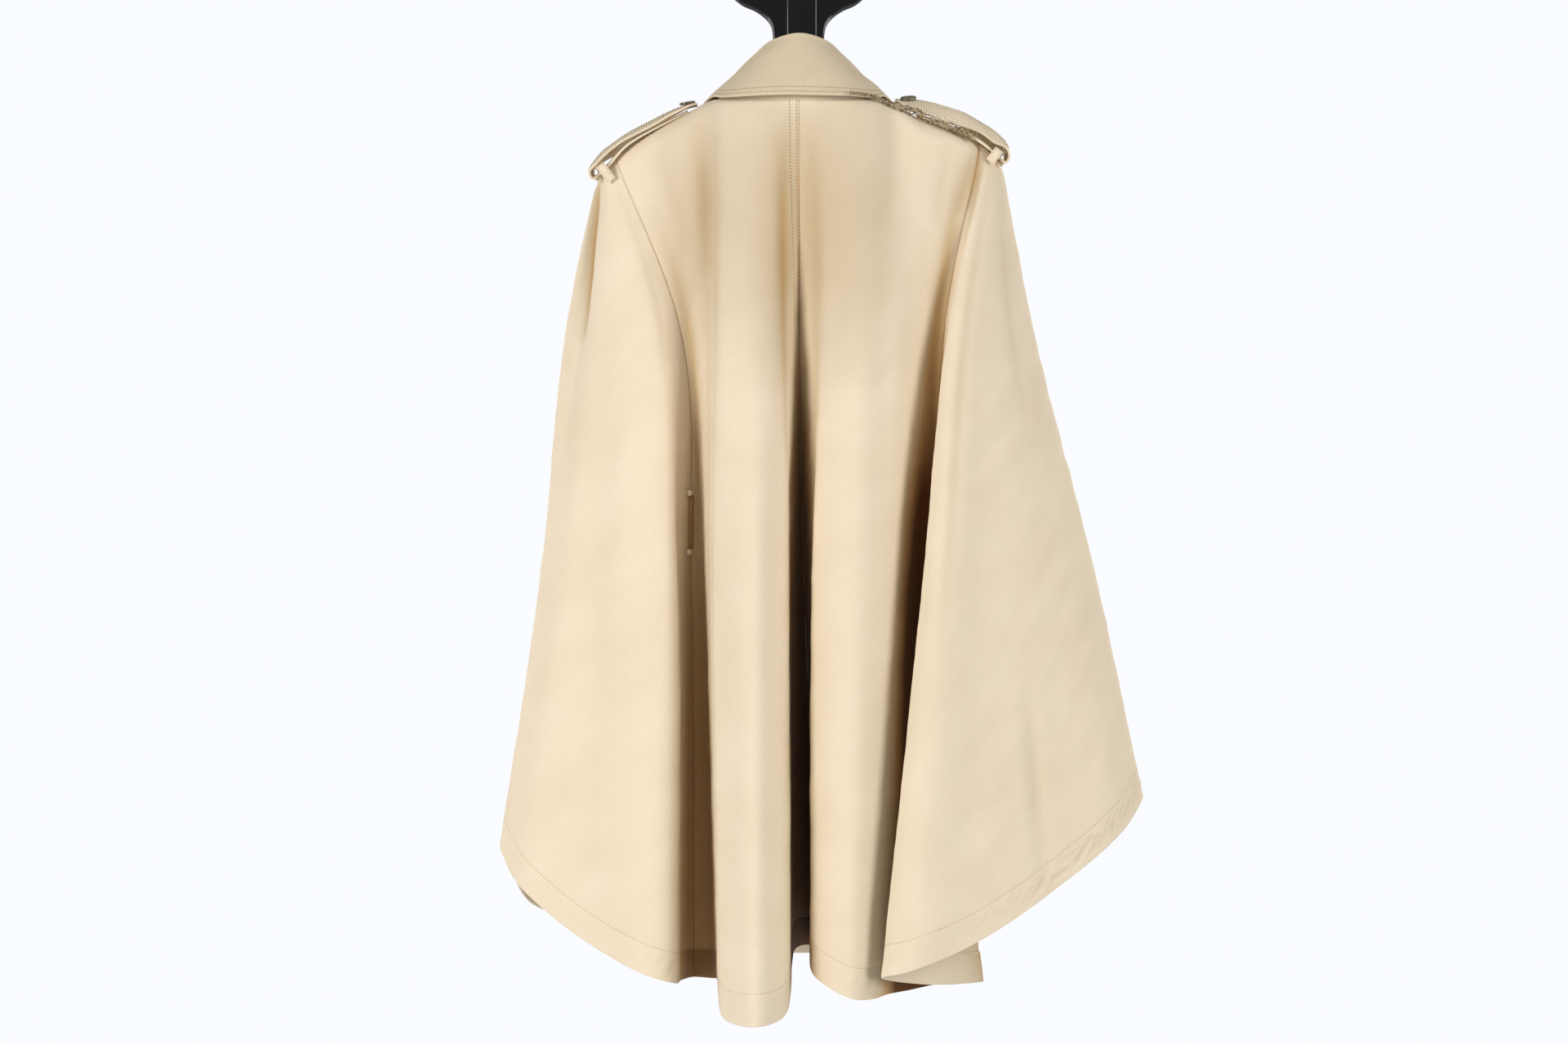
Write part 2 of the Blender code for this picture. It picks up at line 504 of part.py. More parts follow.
def build_front_buttons(surface, normals, button_material):
    """Two columns of three buttons on the right front, which laps over the left one."""
    first, last = fold_column("right_neck"), fold_column("right_edge")
    for side, x in zip(("right", "left"), BUTTON_COLUMNS_X):
        for number, height in enumerate(BUTTON_ROWS_Z, start=1):
            row = row_at(surface, first, height)
            point, normal = seat(surface, normals, column_at(surface, first, last, row, x), row)
            disc(f"front_button_{side}_{number}", BUTTON_RADIUS, BUTTON_HEIGHT,
                 point + normal * (WALL / 2 + 2 * GAP), normal, button_material, segments=20)


def build_slits(surface, normals, surface_material, stud_material):
    """At each back seam a stitched welt beside the belt slit, with a stud beyond each end."""
    for side, towards_back in (("left", 1), ("right", -1)):
        seam = fold_column(side + "_back_seam")
        top, bottom = (row_at(surface, seam, height) for height in (SLIT_TOP_Z, SLIT_BOTTOM_Z))
        middle = int(round((top + bottom) / 2))
        strip = np.linalg.norm(surface[middle, seam + towards_back] - surface[middle, seam])
        columns = np.sort(seam + towards_back * np.array([0.5 * MM, WELT_WIDTH]) / strip)
        rows = np.concatenate([[top], np.arange(math.ceil(top), bottom), [bottom]])
        lift = WALL / 2 + WELT_WALL / 2 + 2 * GAP
        points = sample(surface, columns, rows) + sample(normals, columns, rows) * lift
        cloth("slit_welt_" + side, points, WELT_WALL, surface_material)
        for end, row in (("top", top - STUD_STEP), ("bottom", bottom + STUD_STEP)):
            point, normal = seat(surface, normals, seam - towards_back * STUD_ASIDE / strip, row)
            disc(f"slit_stud_{side}_{end}", STUD_RADIUS, STUD_HEIGHT,
                 point + normal * (WALL / 2 + 3 * GAP), normal, stud_material, segments=10)


def build_hanger(surface_material, steel_material):
    """The hanger: arms under the shoulders, a flared head with a raised tongue, and the hook."""
    profile = np.array(ARM_PROFILE) * MM
    both = np.concatenate([profile[:0:-1] * (-1, 1, 1), profile])
    angles = np.linspace(0, 2 * math.pi, ARM_SIDES, endpoint=False)
    half_high = ARM_THICKNESS / 2
    rings = np.stack([np.broadcast_to(both[:, :1], (len(both), len(angles))),
                      both[:, 2:] * np.cos(angles),
                      both[:, 1:2] - half_high + half_high * np.sin(angles)], axis=-1)
    loft("hanger_arms", rings, surface_material)

    half_width, height = np.array(HEAD_PROFILE).T * MM
    head = np.array([[(side * wide, depth * HEAD_HALF_DEPTH, level) for side, depth in HEAD_CORNERS]
                     for wide, level in zip(half_width, height)])
    loft("hanger_head", head, surface_material)

    levels = np.linspace(TONGUE_BOTTOM_Z, TONGUE_TOP_Z, TONGUE_RINGS)
    face = -HEAD_HALF_DEPTH - GAP
    tongue = np.array([[(TONGUE_OFFSET + side * TONGUE_HALF_WIDTH, face + depth * TONGUE_DEPTH, level)
                        for side, depth in TONGUE_CORNERS] for level in levels])
    loft("hanger_tongue", tongue, surface_material)
    build_hook(steel_material)


def build_hook(steel_material):
    """The steel hook: a stem out of the head and three quarters of a circle, open to one side."""
    crown = -HOOK_RADIUS + HOOK_WIRE
    turn = np.radians(np.linspace(*HOOK_TURN, HOOK_POINTS))
    arc = [(HOOK_RADIUS * math.cos(angle), 0, crown + HOOK_RADIUS * math.sin(angle))
           for angle in turn]
    stem = [(x * MM, 0, z * MM) for x, z in HOOK_STEM]
    points = stem + arc
    data = bpy.data.curves.new("hanger_hook", 'CURVE')
    data.dimensions = '3D'
    data.bevel_depth = HOOK_WIRE
    data.bevel_resolution = 2
    data.use_fill_caps = True
    spline = data.splines.new('POLY')
    spline.points.add(len(points) - 1)
    for point, spot in zip(spline.points, points):
        point.co = (*spot, 1.0)
    made = bpy.data.objects.new("hanger_hook", data)
    data.materials.append(steel_material)
    COLLECTION.objects.link(made)


for old in list(bpy.data.objects):
    bpy.data.objects.remove(old, do_unlink=True)
COLLECTION = bpy.data.collections.new("trench_cape")
bpy.context.scene.collection.children.link(COLLECTION)

gabardine = material("gabardine", CLOTH_COLOUR, 0.85)
horn = material("button_horn", BUTTON_COLOUR, 0.35)
stud = material("stud_thread", STUD_COLOUR, 0.6)
black_plastic = material("hanger_plastic", HANGER_COLOUR, 0.08)
steel = material("hook_steel", STEEL_COLOUR, 0.2, 1.0)

cape = cape_grid()
outward_normals = surface_normals(cape)
build_panels(cape, outward_normals, gabardine)
build_collar(gabardine)
build_straps(gabardine, horn)
build_front_buttons(cape, outward_normals, horn)
build_slits(cape, outward_normals, gabardine, stud)
build_hanger(black_plastic, steel)
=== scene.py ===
"""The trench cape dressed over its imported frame: cloth, sewing, buttons, hanger, camera and light.

The frame is the CAD's: metres, +Z up, the back faces -Y, the origin is the hook's inside crown. The
cape is one surface through the fold lines of FOLDS, cut into six panels at its seams. Every cloth
piece is a wall worked out on a grid of points, and every row of sewing follows the finished cloth.
Tables are in millimetres.
"""
import math

import bmesh
import bpy
import numpy as np
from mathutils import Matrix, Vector


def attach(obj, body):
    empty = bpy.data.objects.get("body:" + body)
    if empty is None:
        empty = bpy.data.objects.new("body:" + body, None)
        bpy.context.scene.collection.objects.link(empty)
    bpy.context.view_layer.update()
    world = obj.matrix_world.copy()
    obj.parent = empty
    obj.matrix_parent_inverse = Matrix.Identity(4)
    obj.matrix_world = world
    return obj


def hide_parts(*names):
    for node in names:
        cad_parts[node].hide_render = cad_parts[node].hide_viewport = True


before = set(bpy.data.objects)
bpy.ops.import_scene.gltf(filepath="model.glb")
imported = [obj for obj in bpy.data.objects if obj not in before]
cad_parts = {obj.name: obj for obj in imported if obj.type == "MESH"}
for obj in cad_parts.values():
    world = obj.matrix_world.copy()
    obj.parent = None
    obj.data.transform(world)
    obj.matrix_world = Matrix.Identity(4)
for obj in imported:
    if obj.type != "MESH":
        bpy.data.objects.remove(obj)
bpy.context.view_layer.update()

MM = 0.001
GAP = 0.3 * MM            # between sewn neighbours
OUTER = 0.75 * MM         # from the middle surface out to the cloth's right side
INNER = 0.35 * MM         # and in to its wrong side
HEM_TURNING = 1.0 * MM    # how much thicker the wall is where the hem is turned up
HEM_DEPTH = 27.5 * MM     # from the hem's edge up to its row of stitches
HEM_EDGE = 0.6 * MM       # over which the wall thins out at the hem's edge
HEM_STEP = HEM_DEPTH + 0.5 * MM, HEM_DEPTH - 0.3 * MM   # where it thickens to the turned-up hem
ARM_ROUND = 20 * MM       # how far down the cloth rounds over the hanger's arm
ROUND_SHARE = 0.06        # share of a fold line that this rounding takes
CHEST_Z = -430 * MM
WAIST_Z = -667 * MM

FOLD_COLUMNS = ("name", "seam_x", "seam_y", "seam_z", "top_x", "top_y", "chest_x", "chest_y",
                "waist_x", "waist_y", "hem_x", "hem_y", "hem_z")
FOLDS = (
    ("left_edge", 58, 60, -270, 58, 60, 62, 63, 64, 87, 66, 121, -1066),
    ("left_lap", 28, 74, -267, 28, 74, 31, 66, 32, 88, 33, 124, -1067),
    ("left_centre", 0, 78, -264, 0, 79, 0, 67, 0, 89, 0, 125, -1067),
    ("left_breast", -30, 72, -257, -30, 74, -32, 66, -33, 88, -34, 124, -1067),
    ("left_neck", -58, 50, -240, -60, 60, -64, 62, -66, 86, -70, 120, -1065),
    ("left_neck_side", -79, 24, -222, -81, 40, -83, 60, -85, 80, -90, 112, -1063),
    ("left_front_corner", -83, 3, -214, -87, 22, -98, 54, -100, 68, -108, 98, -1060),
    ("left_front_valley", -112, 0, -228.5, -114, 23, -118, 46, -122, 54, -136, 84, -1057),
    ("left_front_seam", -148, 0, -247.5, -148, 22, -148, 46, -152, 64, -178, 98, -1050),
    ("left_front_fold", -172, 0.3, -267, -174, 19, -172, 50, -186, 78, -226, 120, -1034),
    ("left_front_wing", -182, 1.5, -276.5, -187, 16, -196, 42, -222, 62, -273, 102, -1011),
    ("left_wing_turn", -187.5, 1.8, -282, -193, 8, -214, 22, -241, 32, -286, 54, -968),
    ("left_side", -189, 0, -283, -195, 1, -224, 2, -249, 2, -289, 2, -934),
    ("left_groove", -188.3, -1.2, -283, -194, -3, -210, -6, -239, -14, -278, -12, -953),
    ("left_wing_outer", -186.5, -1.8, -281, -192, -7, -199, -26, -226, -28, -262, -26, -971),
    ("left_wing_mid", -184, -1.5, -279, -190, -11, -183, -38, -191, -46, -205, -50, -1010),
    ("left_wing_crest", -181, -1, -276, -187, -14, -160, -47, -149, -62, -145, -76, -1037),
    ("left_wing_inner", -178, -0.7, -273.2, -184, -15, -137, -48, -119, -56, -117, -70, -1047),
    ("left_wing_under", -175, -0.3, -270, -181, -16, -127, -41, -114, -30, -112, -28, -1055),
    ("left_back_seam", -172, 0, -267, -178, -18, -114, -34, -104, -6, -101, -2, -1059),
    ("left_valley", -142, 0, -244.5, -142, -25, -101, -38, -93, -12, -85, -6, -1059),
    ("left_valley_flank", -108, 0, -226, -108, -25, -89, -52, -86, -44, -77, -40, -1052),
    ("left_back_corner", -83, -3, -214, -88, -24, -82, -64, -82, -68, -74, -78, -1057),
    ("left_ridge_outer", -70, -25, -218, -73, -34, -74, -74, -77, -84, -69, -108, -1069),
    ("left_ridge", -42, -41, -222, -44, -47, -41, -80, -40, -104, -40, -136, -1069),
    ("left_ridge_inner", -18, -45, -223, -18, -49, -16, -70, -15, -80, -14, -110, -1066),
    ("left_centre_flank", -8, -46, -223, -8, -48, -8, -58, -8, -36, -5, -22, -1029),
    ("centre_back", 0, -46, -223, 0, -48, 0, -44, 5, 18, 21, 60, -1044),
    ("right_centre_flank", 8, -46, -223, 9, -48, 12, -59, 12, -36, 14, -18, -1027),
    ("right_ridge_inner", 18, -45, -223, 19, -49, 24, -70, 16, -78, 15, -94, -1036),
    ("right_ridge", 45, -41, -222, 48, -47, 54, -79, 49, -96, 46, -112, -1050),
    ("right_ridge_outer", 72, -25, -218, 76, -36, 80, -71, 77, -82, 68, -94, -1055),
    ("right_back_corner", 87, -3, -215, 92, -24, 95, -64, 88, -70, 80, -80, -1055),
    ("right_valley_flank", 115, 0, -231, 116, -26, 111, -52, 101, -42, 102, -54, -1058),
    ("right_valley", 145, 0, -242.5, 148, -24, 126, -40, 116, -18, 140, -20, -1060),
    ("right_back_seam", 170, 0, -254, 176, -18, 138, -38, 136, -17, 175, -16, -1060),
    ("right_wing_under", 173, -0.3, -256, 179, -17, 142, -48, 126, -54, 121, -72, -1048),
    ("right_wing_inner", 176, -0.6, -258, 182, -16, 142, -60, 115, -88, 74, -113, -1031),
    ("right_wing_crest", 179, -1, -260.5, 186, -14, 153, -63, 130, -97, 97, -124, -1023),
    ("right_wing_mid", 182, -1.4, -263, 189, -12, 172, -54, 172, -78, 156, -104, -1004),
    ("right_wing_flat", 184.5, -1.8, -265, 192, -9, 197, -36, 224, -52, 236, -68, -962),
    ("right_wing_outer", 187.3, -1.5, -267.5, 194, -5, 215, -18, 268, -22, 308, -30, -913),
    ("right_side", 189, 0, -269, 195, 0, 226, 2, 286, 2, 333, 2, -886),
    ("right_wing_turn", 187.5, 1.8, -268, 193, 8, 213, 22, 264, 30, 318, 50, -925),
    ("right_front_wing", 182, 1.5, -263, 188, 16, 196, 42, 232, 64, 282, 96, -970),
    ("right_front_fold", 172, 0.3, -255.5, 174, 19, 172, 50, 190, 78, 228, 118, -1005),
    ("right_front_seam", 148, 0, -244, 148, 22, 148, 46, 152, 64, 178, 98, -1048),
    ("right_front_valley", 116, 0, -231.5, 117, 23, 118, 46, 122, 54, 136, 84, -1057),
    ("right_front_corner", 87, 3, -215, 92, 22, 98, 54, 100, 70, 108, 100, -1060),
    ("right_neck_side", 80, 24, -222, 82, 41, 84, 62, 86, 82, 90, 115, -1063),
    ("right_neck", 58, 53, -240, 60, 63, 64, 66, 66, 90, 70, 124, -1065),
    ("right_breast", 30, 76, -257, 30, 78, 32, 70, 33, 92, 34, 128, -1067),
    ("right_centre", 0, 82, -264, 0, 83, 0, 71, 0, 93, 0, 129, -1067),
    ("right_lap", -28, 78, -267, -28, 78, -31, 70, -32, 92, -33, 128, -1067),
    ("right_edge", -58, 64, -270, -58, 64, -62, 67, -64, 91, -66, 125, -1066),
)
PANELS = (
    ("front_left", "left_edge", "left_front_seam"),
    ("side_left", "left_front_seam", "left_back_seam"),
    ("back_left", "left_back_seam", "centre_back"),
    ("back_right", "centre_back", "right_back_seam"),
    ("side_right", "right_back_seam", "right_front_seam"),
    ("front_right", "right_front_seam", "right_edge"),
)
# Rows of the grid near the hem, as distances up from its edge.
HEM_ROWS = (0, 0.6, 1.6, 3, 5, 8, 11, 14, 17, 20, 22.5, 25, 26.4, 27.5, 28.6, 30, 33, 37)
ROUND_ROWS = 14
DROP_ROWS = 140
# Columns of the grid between two folds: one for each so much width, or for each so many degrees of
# turn, within limits, and more at these shares of a span from a seam.
STEP_WIDTH, STEP_TURN, STEP_LIMITS = 7 * MM, 12, (5, 22)
BESIDE_SEAM = (0.03, 0.08)
SEAM_STITCH_ROWS = (2.5, 9.0)

# Soft creases in the panels, troughs along a line from one spot to another. Columns: place and
# share of the first spot and of the last one, half width, depth, and how much less light the
# bottom gets. A place counts fold lines, and a share runs from the seam to the hem.
CREASES = (
    (13.35, 0.02, 13.4, 0.27, 8, 7.0, 0.80),    # under the left shoulder's tip
    (19.4, 0.10, 19.7, 0.50, 13, 1.0, 0.40),    # beside the left back seam, as the valley opens
    (20.1, 0.05, 20.3, 0.20, 10, 1.5, 0.12),    # the left back, from the neck outwards
    (21.5, 0.04, 21.6, 0.24, 11, 2.2, 0.20),
    (22.6, 0.03, 22.6, 0.95, 5, 0.8, 0.16),
    (21.6, 0.10, 21.3, 0.80, 12, 0.8, 0.16),
    (25.2, 0.06, 25.3, 0.45, 8, 2.5, 0.35),     # beside the centre back seam, which turns in
    (28.3, 0.06, 28.4, 0.70, 9, 1.5, 0.26),
    (34.5, 0.05, 34.4, 0.50, 11, 1.5, 0.60),    # the right back's deep fold
    (35.15, 0.01, 35.2, 0.12, 3, 2.2, 0.35),    # gathered at the right shoulder's tip
    (34.85, 0.02, 34.7, 0.13, 6, 2.0, 0.30),
    (33.9, 0.05, 33.8, 0.16, 7, 1.4, 0.14),
    (36.6, 0.02, 36.2, 0.17, 4, 2.0, 0.28),
    (38.3, 0.02, 38.1, 0.65, 6, 1.5, 0.16),     # the right wing's long hanging folds
    (40.0, 0.05, 40.3, 0.40, 8, 1.4, 0.10),
    (39.7, 0.72, 39.9, 0.99, 9, 2.0, 0.12),
    (15.0, 0.20, 15.0, 0.90, 20, 1.5, 0.03),    # the left wing's
    (31.2, 0.03, 31.3, 0.30, 14, 1.5, 0.06),    # the right back
    (25.4, 0.02, 25.2, 0.36, 46, 0.3, 0.36),    # the back's top, in the collar's shade
    (29.6, 0.02, 29.8, 0.36, 46, 0.3, 0.27),
    (21.2, 0.02, 21.0, 0.32, 44, 0.3, 0.30),
    (2.6, 0.05, 2.5, 0.60, 12, 1.6, 0.08),      # the fronts, guessed
    (5.3, 0.04, 5.5, 0.35, 9, 2.0, 0.12),
    (8.6, 0.03, 8.8, 0.45, 9, 2.4, 0.14),
    (46.4, 0.04, 46.2, 0.40, 9, 2.2, 0.14),
    (50.4, 0.06, 50.5, 0.55, 10, 1.8, 0.10),
)
# The cloth's slight waviness: height, wavelength and random seed.
WAVES = ((0.4 * MM, 0.09, 3), (0.2 * MM, 0.03, 4))
STILL_SHARE = 0.08                                  # share of a fold over which it grows
# The dent of the hem's stitches, the puckers below them and the roll of the cloth into a seam.
HEM_DENT, DENT_WIDTH = 0.25 * MM, 1.2 * MM
PUCKER, PUCKER_PITCH, PUCKER_SHADE, PUCKER_WIDTH = 0.6 * MM, 14 * MM, 0.10, 9 * MM
SEAM_ROLL, ROLL_WIDTH, ROLL_POWER = 0.7 * MM, 1.1 * MM, 1.5
# Where the hem's turning puckers most, at the wings' tips: fold place and spread.
PUCKERED = ((17.2, 0.9), (40.5, 1.4))
# How much the shade deepens towards the hem, by fold, and the shares of the drop between which
# it does.
LOW_SHADE_BY_FOLD = (("left_wing_crest", 0.0), ("left_wing_inner", 0.45),
                     ("left_valley_flank", 0.45), ("left_back_corner", 0.0))
LOW_FROM, LOW_TO = 0.4, 0.75
HEM_SHADE = 0.4            # how much deeper shade lies on the hem's turning than above it
# The underside beside the right back seam, open to the light at the hem: fold place, its spread,
# height from the hem and the share of the shade that it loses.
LIT_PLACE, LIT_SPREAD, LIT_HEIGHT, LIT_SHARE = 35.8, 1.3, 75 * MM, 0.95
# How far behind the cape's outline cloth starts to lose light, and where it has lost the most.
SHADE_START = 14 * MM
SHADE_FULL = 85 * MM
SHADE_MOST = 0.9
SEAM_SHADE, SEAM_SHADE_WIDTH = 0.45, 0.8 * MM
# Shares of the shade, by fold: a narrow fold gets less light than a wide one of the same depth.
SHADE_BY_FOLD = (("left_edge", 0.6), ("left_wing_inner", 0.46), ("left_ridge_outer", 0.5),
                 ("left_centre_flank", 0.84), ("right_centre_flank", 0.84),
                 ("right_ridge_outer", 1.0), ("right_valley_flank", 1.4), ("right_wing_inner", 1.4),
                 ("right_wing_mid", 0.6), ("right_edge", 0.6))

COLLAR_COLUMNS = ("name", "neck_x", "neck_y", "neck_z", "fold_x", "fold_y", "fold_z",
                  "edge_x", "edge_y", "edge_z")
COLLAR = (
    ("back_centre", 0, -45, -222.5, 0, -20, -153, 0, -52, -219),
    ("back", 30, -42, -221.9, 25.5, -12, -157.5, 42, -49, -219),
    ("back_side", 62, -29, -218.8, 41, 1, -167, 72, -34, -217),
    ("side", 80.5, 0, -213.8, 59, 18, -181, 84.5, -5, -210),
    ("shoulder", 79, 14, -216.5, 65, 30, -190, 95, 15, -218),
    ("front_side", 74, 29, -223.5, 67, 44, -200, 98, 34, -238),
    ("front", 56, 55, -239.5, 54, 68, -226, 88, 60, -288),
    ("point_side", 29, 79, -256.5, 30, 88, -246, 60, 84, -318),
    ("front_end", 3, 86, -263.5, 5, 93, -256, 40, 88, -328),
)
COLLAR_SPAN = 10           # steps of the grid between neighbouring rows of the table
COLLAR_ROLL = 2.4 * MM     # radius of the roll at the fold
COLLAR_SEAM_DEPTH = 2 * MM
COLLAR_BULGE = 2 * MM
COLLAR_SHADE = 0.22        # how little light reaches the fall, from 0 to 1
STAND_HALF, FALL_HALF = 0.7 * MM, 0.95 * MM         # half the thickness of each
COLLAR_STITCH_ROWS, COLLAR_DENT = (4, 9), 0.22 * MM   # their distances from the edge, and depth

STRAP_COLUMNS = ("x", "z", "half", "back_drop", "curl")
STRAPS = {
    "left": ((-98, -216.5, 5, 0, 0), (-104.5, -217.2, 12, 4, 1), (-111, -218.6, 17, 7.5, 2.2),
             (-124.6, -224, 19, 7.6, 4.1), (-140.4, -231.8, 20, 8.3, 5.5),
             (-156, -239.8, 20, 7.3, 5.9), (-168, -247, 20, 5, 6.2), (-179, -255, 20, 3.5, 7),
             (-187.7, -261, 20, 6, 7.5),
             (-194, -267.8, 20, 8, 6), (-198.8, -274.5, 20, 9, 4), (-200.3, -280, 20, 8, 3),
             (-198.8, -284.5, 20, 7, 3), (-195.5, -285.5, 19, 6, 3), (-190.5, -281.3, 18, 5, 4),
             (-183.5, -274.3, 18, 4, 5), (-177, -266.5, 17.5, 4, 5), (-167, -256.5, 17, 3, 4),
             (-155, -247.5, 16, 3, 4), (-137, -238.3, 15, 3, 3), (-107, -222.9, 9, 2, 2)),
    "right": ((94, -212.5, 5, 5, 0), (101, -213, 12, 10, 2.5), (112, -212.6, 16, 14, 6),
              (127.5, -215.2, 16, 15, 8.5), (143.5, -219.6, 16, 13, 12),
              (159.5, -224.8, 16, 6.5, 14), (175, -234, 16.5, 2, 13),
              (187, -241.5, 17, 2, 14.5), (194.8, -248.7, 18, 1, 11), (199.3, -254.5, 18, 2, 7.5),
              (201, -261.5, 18, 4, 4), (201, -267, 18, 5, 2.5), (197.5, -272, 18, 4, 2),
              (191.5, -266.3, 18, 3, 3), (184.5, -259.5, 18, 3, 4.3), (173, -250.5, 17, 3, 4),
              (157.5, -241.5, 16, 3, 4), (143.5, -236.7, 15, 3, 4), (115, -226, 10, 2, 3)),
}
STRAP_CENTRE_Y = -3 * MM
STRAP_ACROSS = 31          # columns of the grid
STRAP_SPAN = 6             # steps of the grid between neighbouring rows of the table
STRAP_TOP_END = 11         # row of the table where the top layer's stitches end
STRAP_BUTTON_ROW = 9
STRAP_HALF = 0.95 * MM     # half the strap's thickness
# Shade where the strap folds back: how much, and its place and spread as shares of the length.
STRAP_SHADE, STRAP_FOLD, STRAP_FOLD_SPREAD = 0.2, 0.66, 0.05
STRAP_STITCH_ROWS = (2.5, 5.5, 8.5, 11.5, 14.5, 17.5, 34.5, 37.5)   # from the back edge
# Radius and height of the buttons, and the profiles of a button and of a stud, from the back of
# its rim to its middle, as shares of those.
STRAP_BUTTON, FRONT_BUTTON, BUTTON_SIDES = (8.0, 2.4), (13.0, 4.0), 48
BUTTON_PROFILE = ((0.80, 0), (0.95, 0.10), (1.0, 0.35), (0.98, 0.70), (0.90, 0.95), (0.82, 1.0),
                  (0.74, 0.93), (0.66, 0.74), (0.58, 0.66), (0, 0.62))
CROSS_REACH, CROSS_APART, CROSS_THREAD = 0.22, 0.05, 0.4 / 13   # a button's thread, in its radii
STUD_PROFILE = ((0.90, 0), (1.0, 0.15), (1.0, 0.40), (0.92, 0.58), (0.80, 0.50), (0.74, 0.42),
                (0.66, 0.60), (0.45, 0.88), (0.2, 1.0), (0.02, 1.02))

# The welt of a belt slit: columns of the cape's grid on each side of the seam that it is read
# from, its reach from the seam towards the back, its heights, and its own grid.
SLIT_READ = 14
SLIT_ACROSS, SLIT_HEIGHTS = (-5.5, 5.0), (-594, -645)
SLIT_COLUMNS, SLIT_ROWS = 10, 41
SLIT_OVER, SLIT_WALL = 0.6 * MM, 0.5 * MM           # clear of the panel, and its own thickness
STUD_RADIUS, STUD_HEIGHT, STUD_SUNK = 3.2 * MM, 1.8 * MM, 0.8 * MM

# The loops that hold the straps' outer ends. Each arches over the strap's under layer, inside its
# fold: x and z of the middle of the layer there, its slope in degrees, and how far the loop's back
# leg reaches down from it. The arch's own section is across the strap and out from it.
LOOPS = {"left": (-189.1, -280.1, 37, 17), "right": (190.6, -265.4, -38, 13)}
LOOP_SECTION = ((24, -9), (23, -4), (22, 0), (18, 1.8), (9, 2.6), (0, 2.8),
                (-9, 2.6), (-18, 1.8), (-22, 0), (-23, -4), (-22.5, -8))
LOOP_FOOT_ACROSS = -20.5   # where the back leg ends
LOOP_SPAN = 6              # steps of the grid between neighbouring points of the section
LOOP_WIDTH = 9 * MM
LOOP_WALL = 1.2 * MM

# The hanger: half widths and heights of its head, and x, z and half depth of an arm.
HEAD_PROFILE = ((24, -185), (24, -170), (25, -150), (27, -139), (33, -131), (43, -124),
                (56, -118), (66, -108), (69, -94), (66, -78), (56, -67), (38, -61), (18, -58))
HEAD_HALF_DEPTH, HEAD_BEVEL = 7 * MM, 2.2 * MM
ARM_PROFILE = ((0, -186, 9), (30, -191, 11), (62, -206, 13), (95, -225, 15), (130, -245, 15),
               (155, -260, 13), (168, -271, 8))
ARM_HALF_HIGH = 6.5 * MM
TONGUE_X, TONGUE_HALF = 3 * MM, 15 * MM
TONGUE_LEVELS = (-168, -84)
TONGUE_CAP = 12 * MM       # length of the tongue's rounded top
TONGUE_ROUND = 2.4 * MM    # the tongue's depth, all of it in its rounded edges
HOOK_STEM = ((0, -58.0), (0, -52), (0.2, -47), (1.2, -43.5), (3.2, -40.6), (6.2, -37.6))
HOOK_RADIUS, HOOK_CENTRE, HOOK_WIRE = 20, -18, 2 * MM
HOOK_TURN = (-52, 190)     # degrees round its centre
HOOK_TIP = (0.97, 0.85, 0.6, 0.2)                   # the wire's last sections, as shares of it

# The worn edge, from the collar's lower right edge out along the right strap: x, y and z.
FRAYED = ((48, -52, -217.5), (60, -46.5, -217), (71.5, -39, -217.6), (79.5, -33, -219.8),
          (87.6, -28, -221.8), (100.3, -24, -225.2), (110.6, -22.5, -228.5), (120, -22, -232.6),
          (136.3, -22, -239.6), (151.9, -22, -245), (160, -22, -248.8), (168, -22, -253))
FRAY_HALF = 2.4            # half the width between its cords

# sRGB colours, in pairs from dark to light where there are two
CLOTH = ("E0CFB4", "EDDFC8")
CLOTH_BLOOM = "FFF3DC"
# The shade on the cloth against the tone that its colour is multiplied by.
CLOTH_TONES = ((0.0, "FFFFFF"), (0.2, "EFEDE8"), (0.42, "DCD2C0"), (0.56, "CFB998"),
               (0.74, "BB9E79"), (1.0, "6F4A26"))
THREAD = "8C7245"
THREAD_HEM = "C9B78F"
THREAD_INSIDE = "F1EADB"
FRAY_DARK = "6A5335"
FRAY_LIGHT = "C9B58C"
HORN = ("3A3324", "8A8069")
STUD = ("E9D3A8", "FFF6E4")
PLASTIC = ("0B0B0C", "141416")
WIRE = ("A9ABAE", "C9CACC")
FLOOR = ("ECEEF0", "F2F4F6")
LAMP = "FFFCF7"
SKY_SEEN, SKY_LIGHT = "FAFCFF", "F4F8FF"

MIX_FACTOR, MIX_A, MIX_B, MIX_COLOUR = 0, 6, 7, 2   # a colour Mix node's sockets, by place

FLOOR_Z, FLOOR_RADIUS = -1.6, 1.2
# Name, place, target, width and height, and watts of each lamp.
LAMPS = (
    ("left_softbox", (-1.75, -1.55, -0.3), (0, 0, -0.6), (0.8, 1.7), 41),
    ("right_softbox", (1.75, -1.55, -0.25), (0, 0, -0.6), (0.8, 1.7), 33.5),
    ("top_softbox", (0, -1.1, 1.0), (0, 0, -0.3), (1.0, 1.0), 2.5),
    ("low_left_softbox", (-1.3, -1.2, -1.45), (-0.24, 0.03, -1.0), (0.6, 0.6), 1.5),
    ("front_left_softbox", (-1.6, 1.9, -0.2), (0, 0, -0.6), (1.2, 1.2), 20),
    ("front_right_softbox", (1.6, 1.9, -0.1), (0, 0, -0.6), (1.2, 1.2), 30),
)
CAMERA_PLACE, CAMERA_LENS, CAMERA_SENSOR = (-0.0142, -1.686, -0.620), 40, 36


# ---- materials ----------------------------------------------------------------------------------
def linear(hex_colour):
    """A linear RGBA from an sRGB hex colour."""
    values = [int(hex_colour[place:place + 2], 16) / 255 for place in (0, 2, 4)]
    return (*[v / 12.92 if v <= 0.04045 else ((v + 0.055) / 1.055) ** 2.4 for v in values], 1.0)


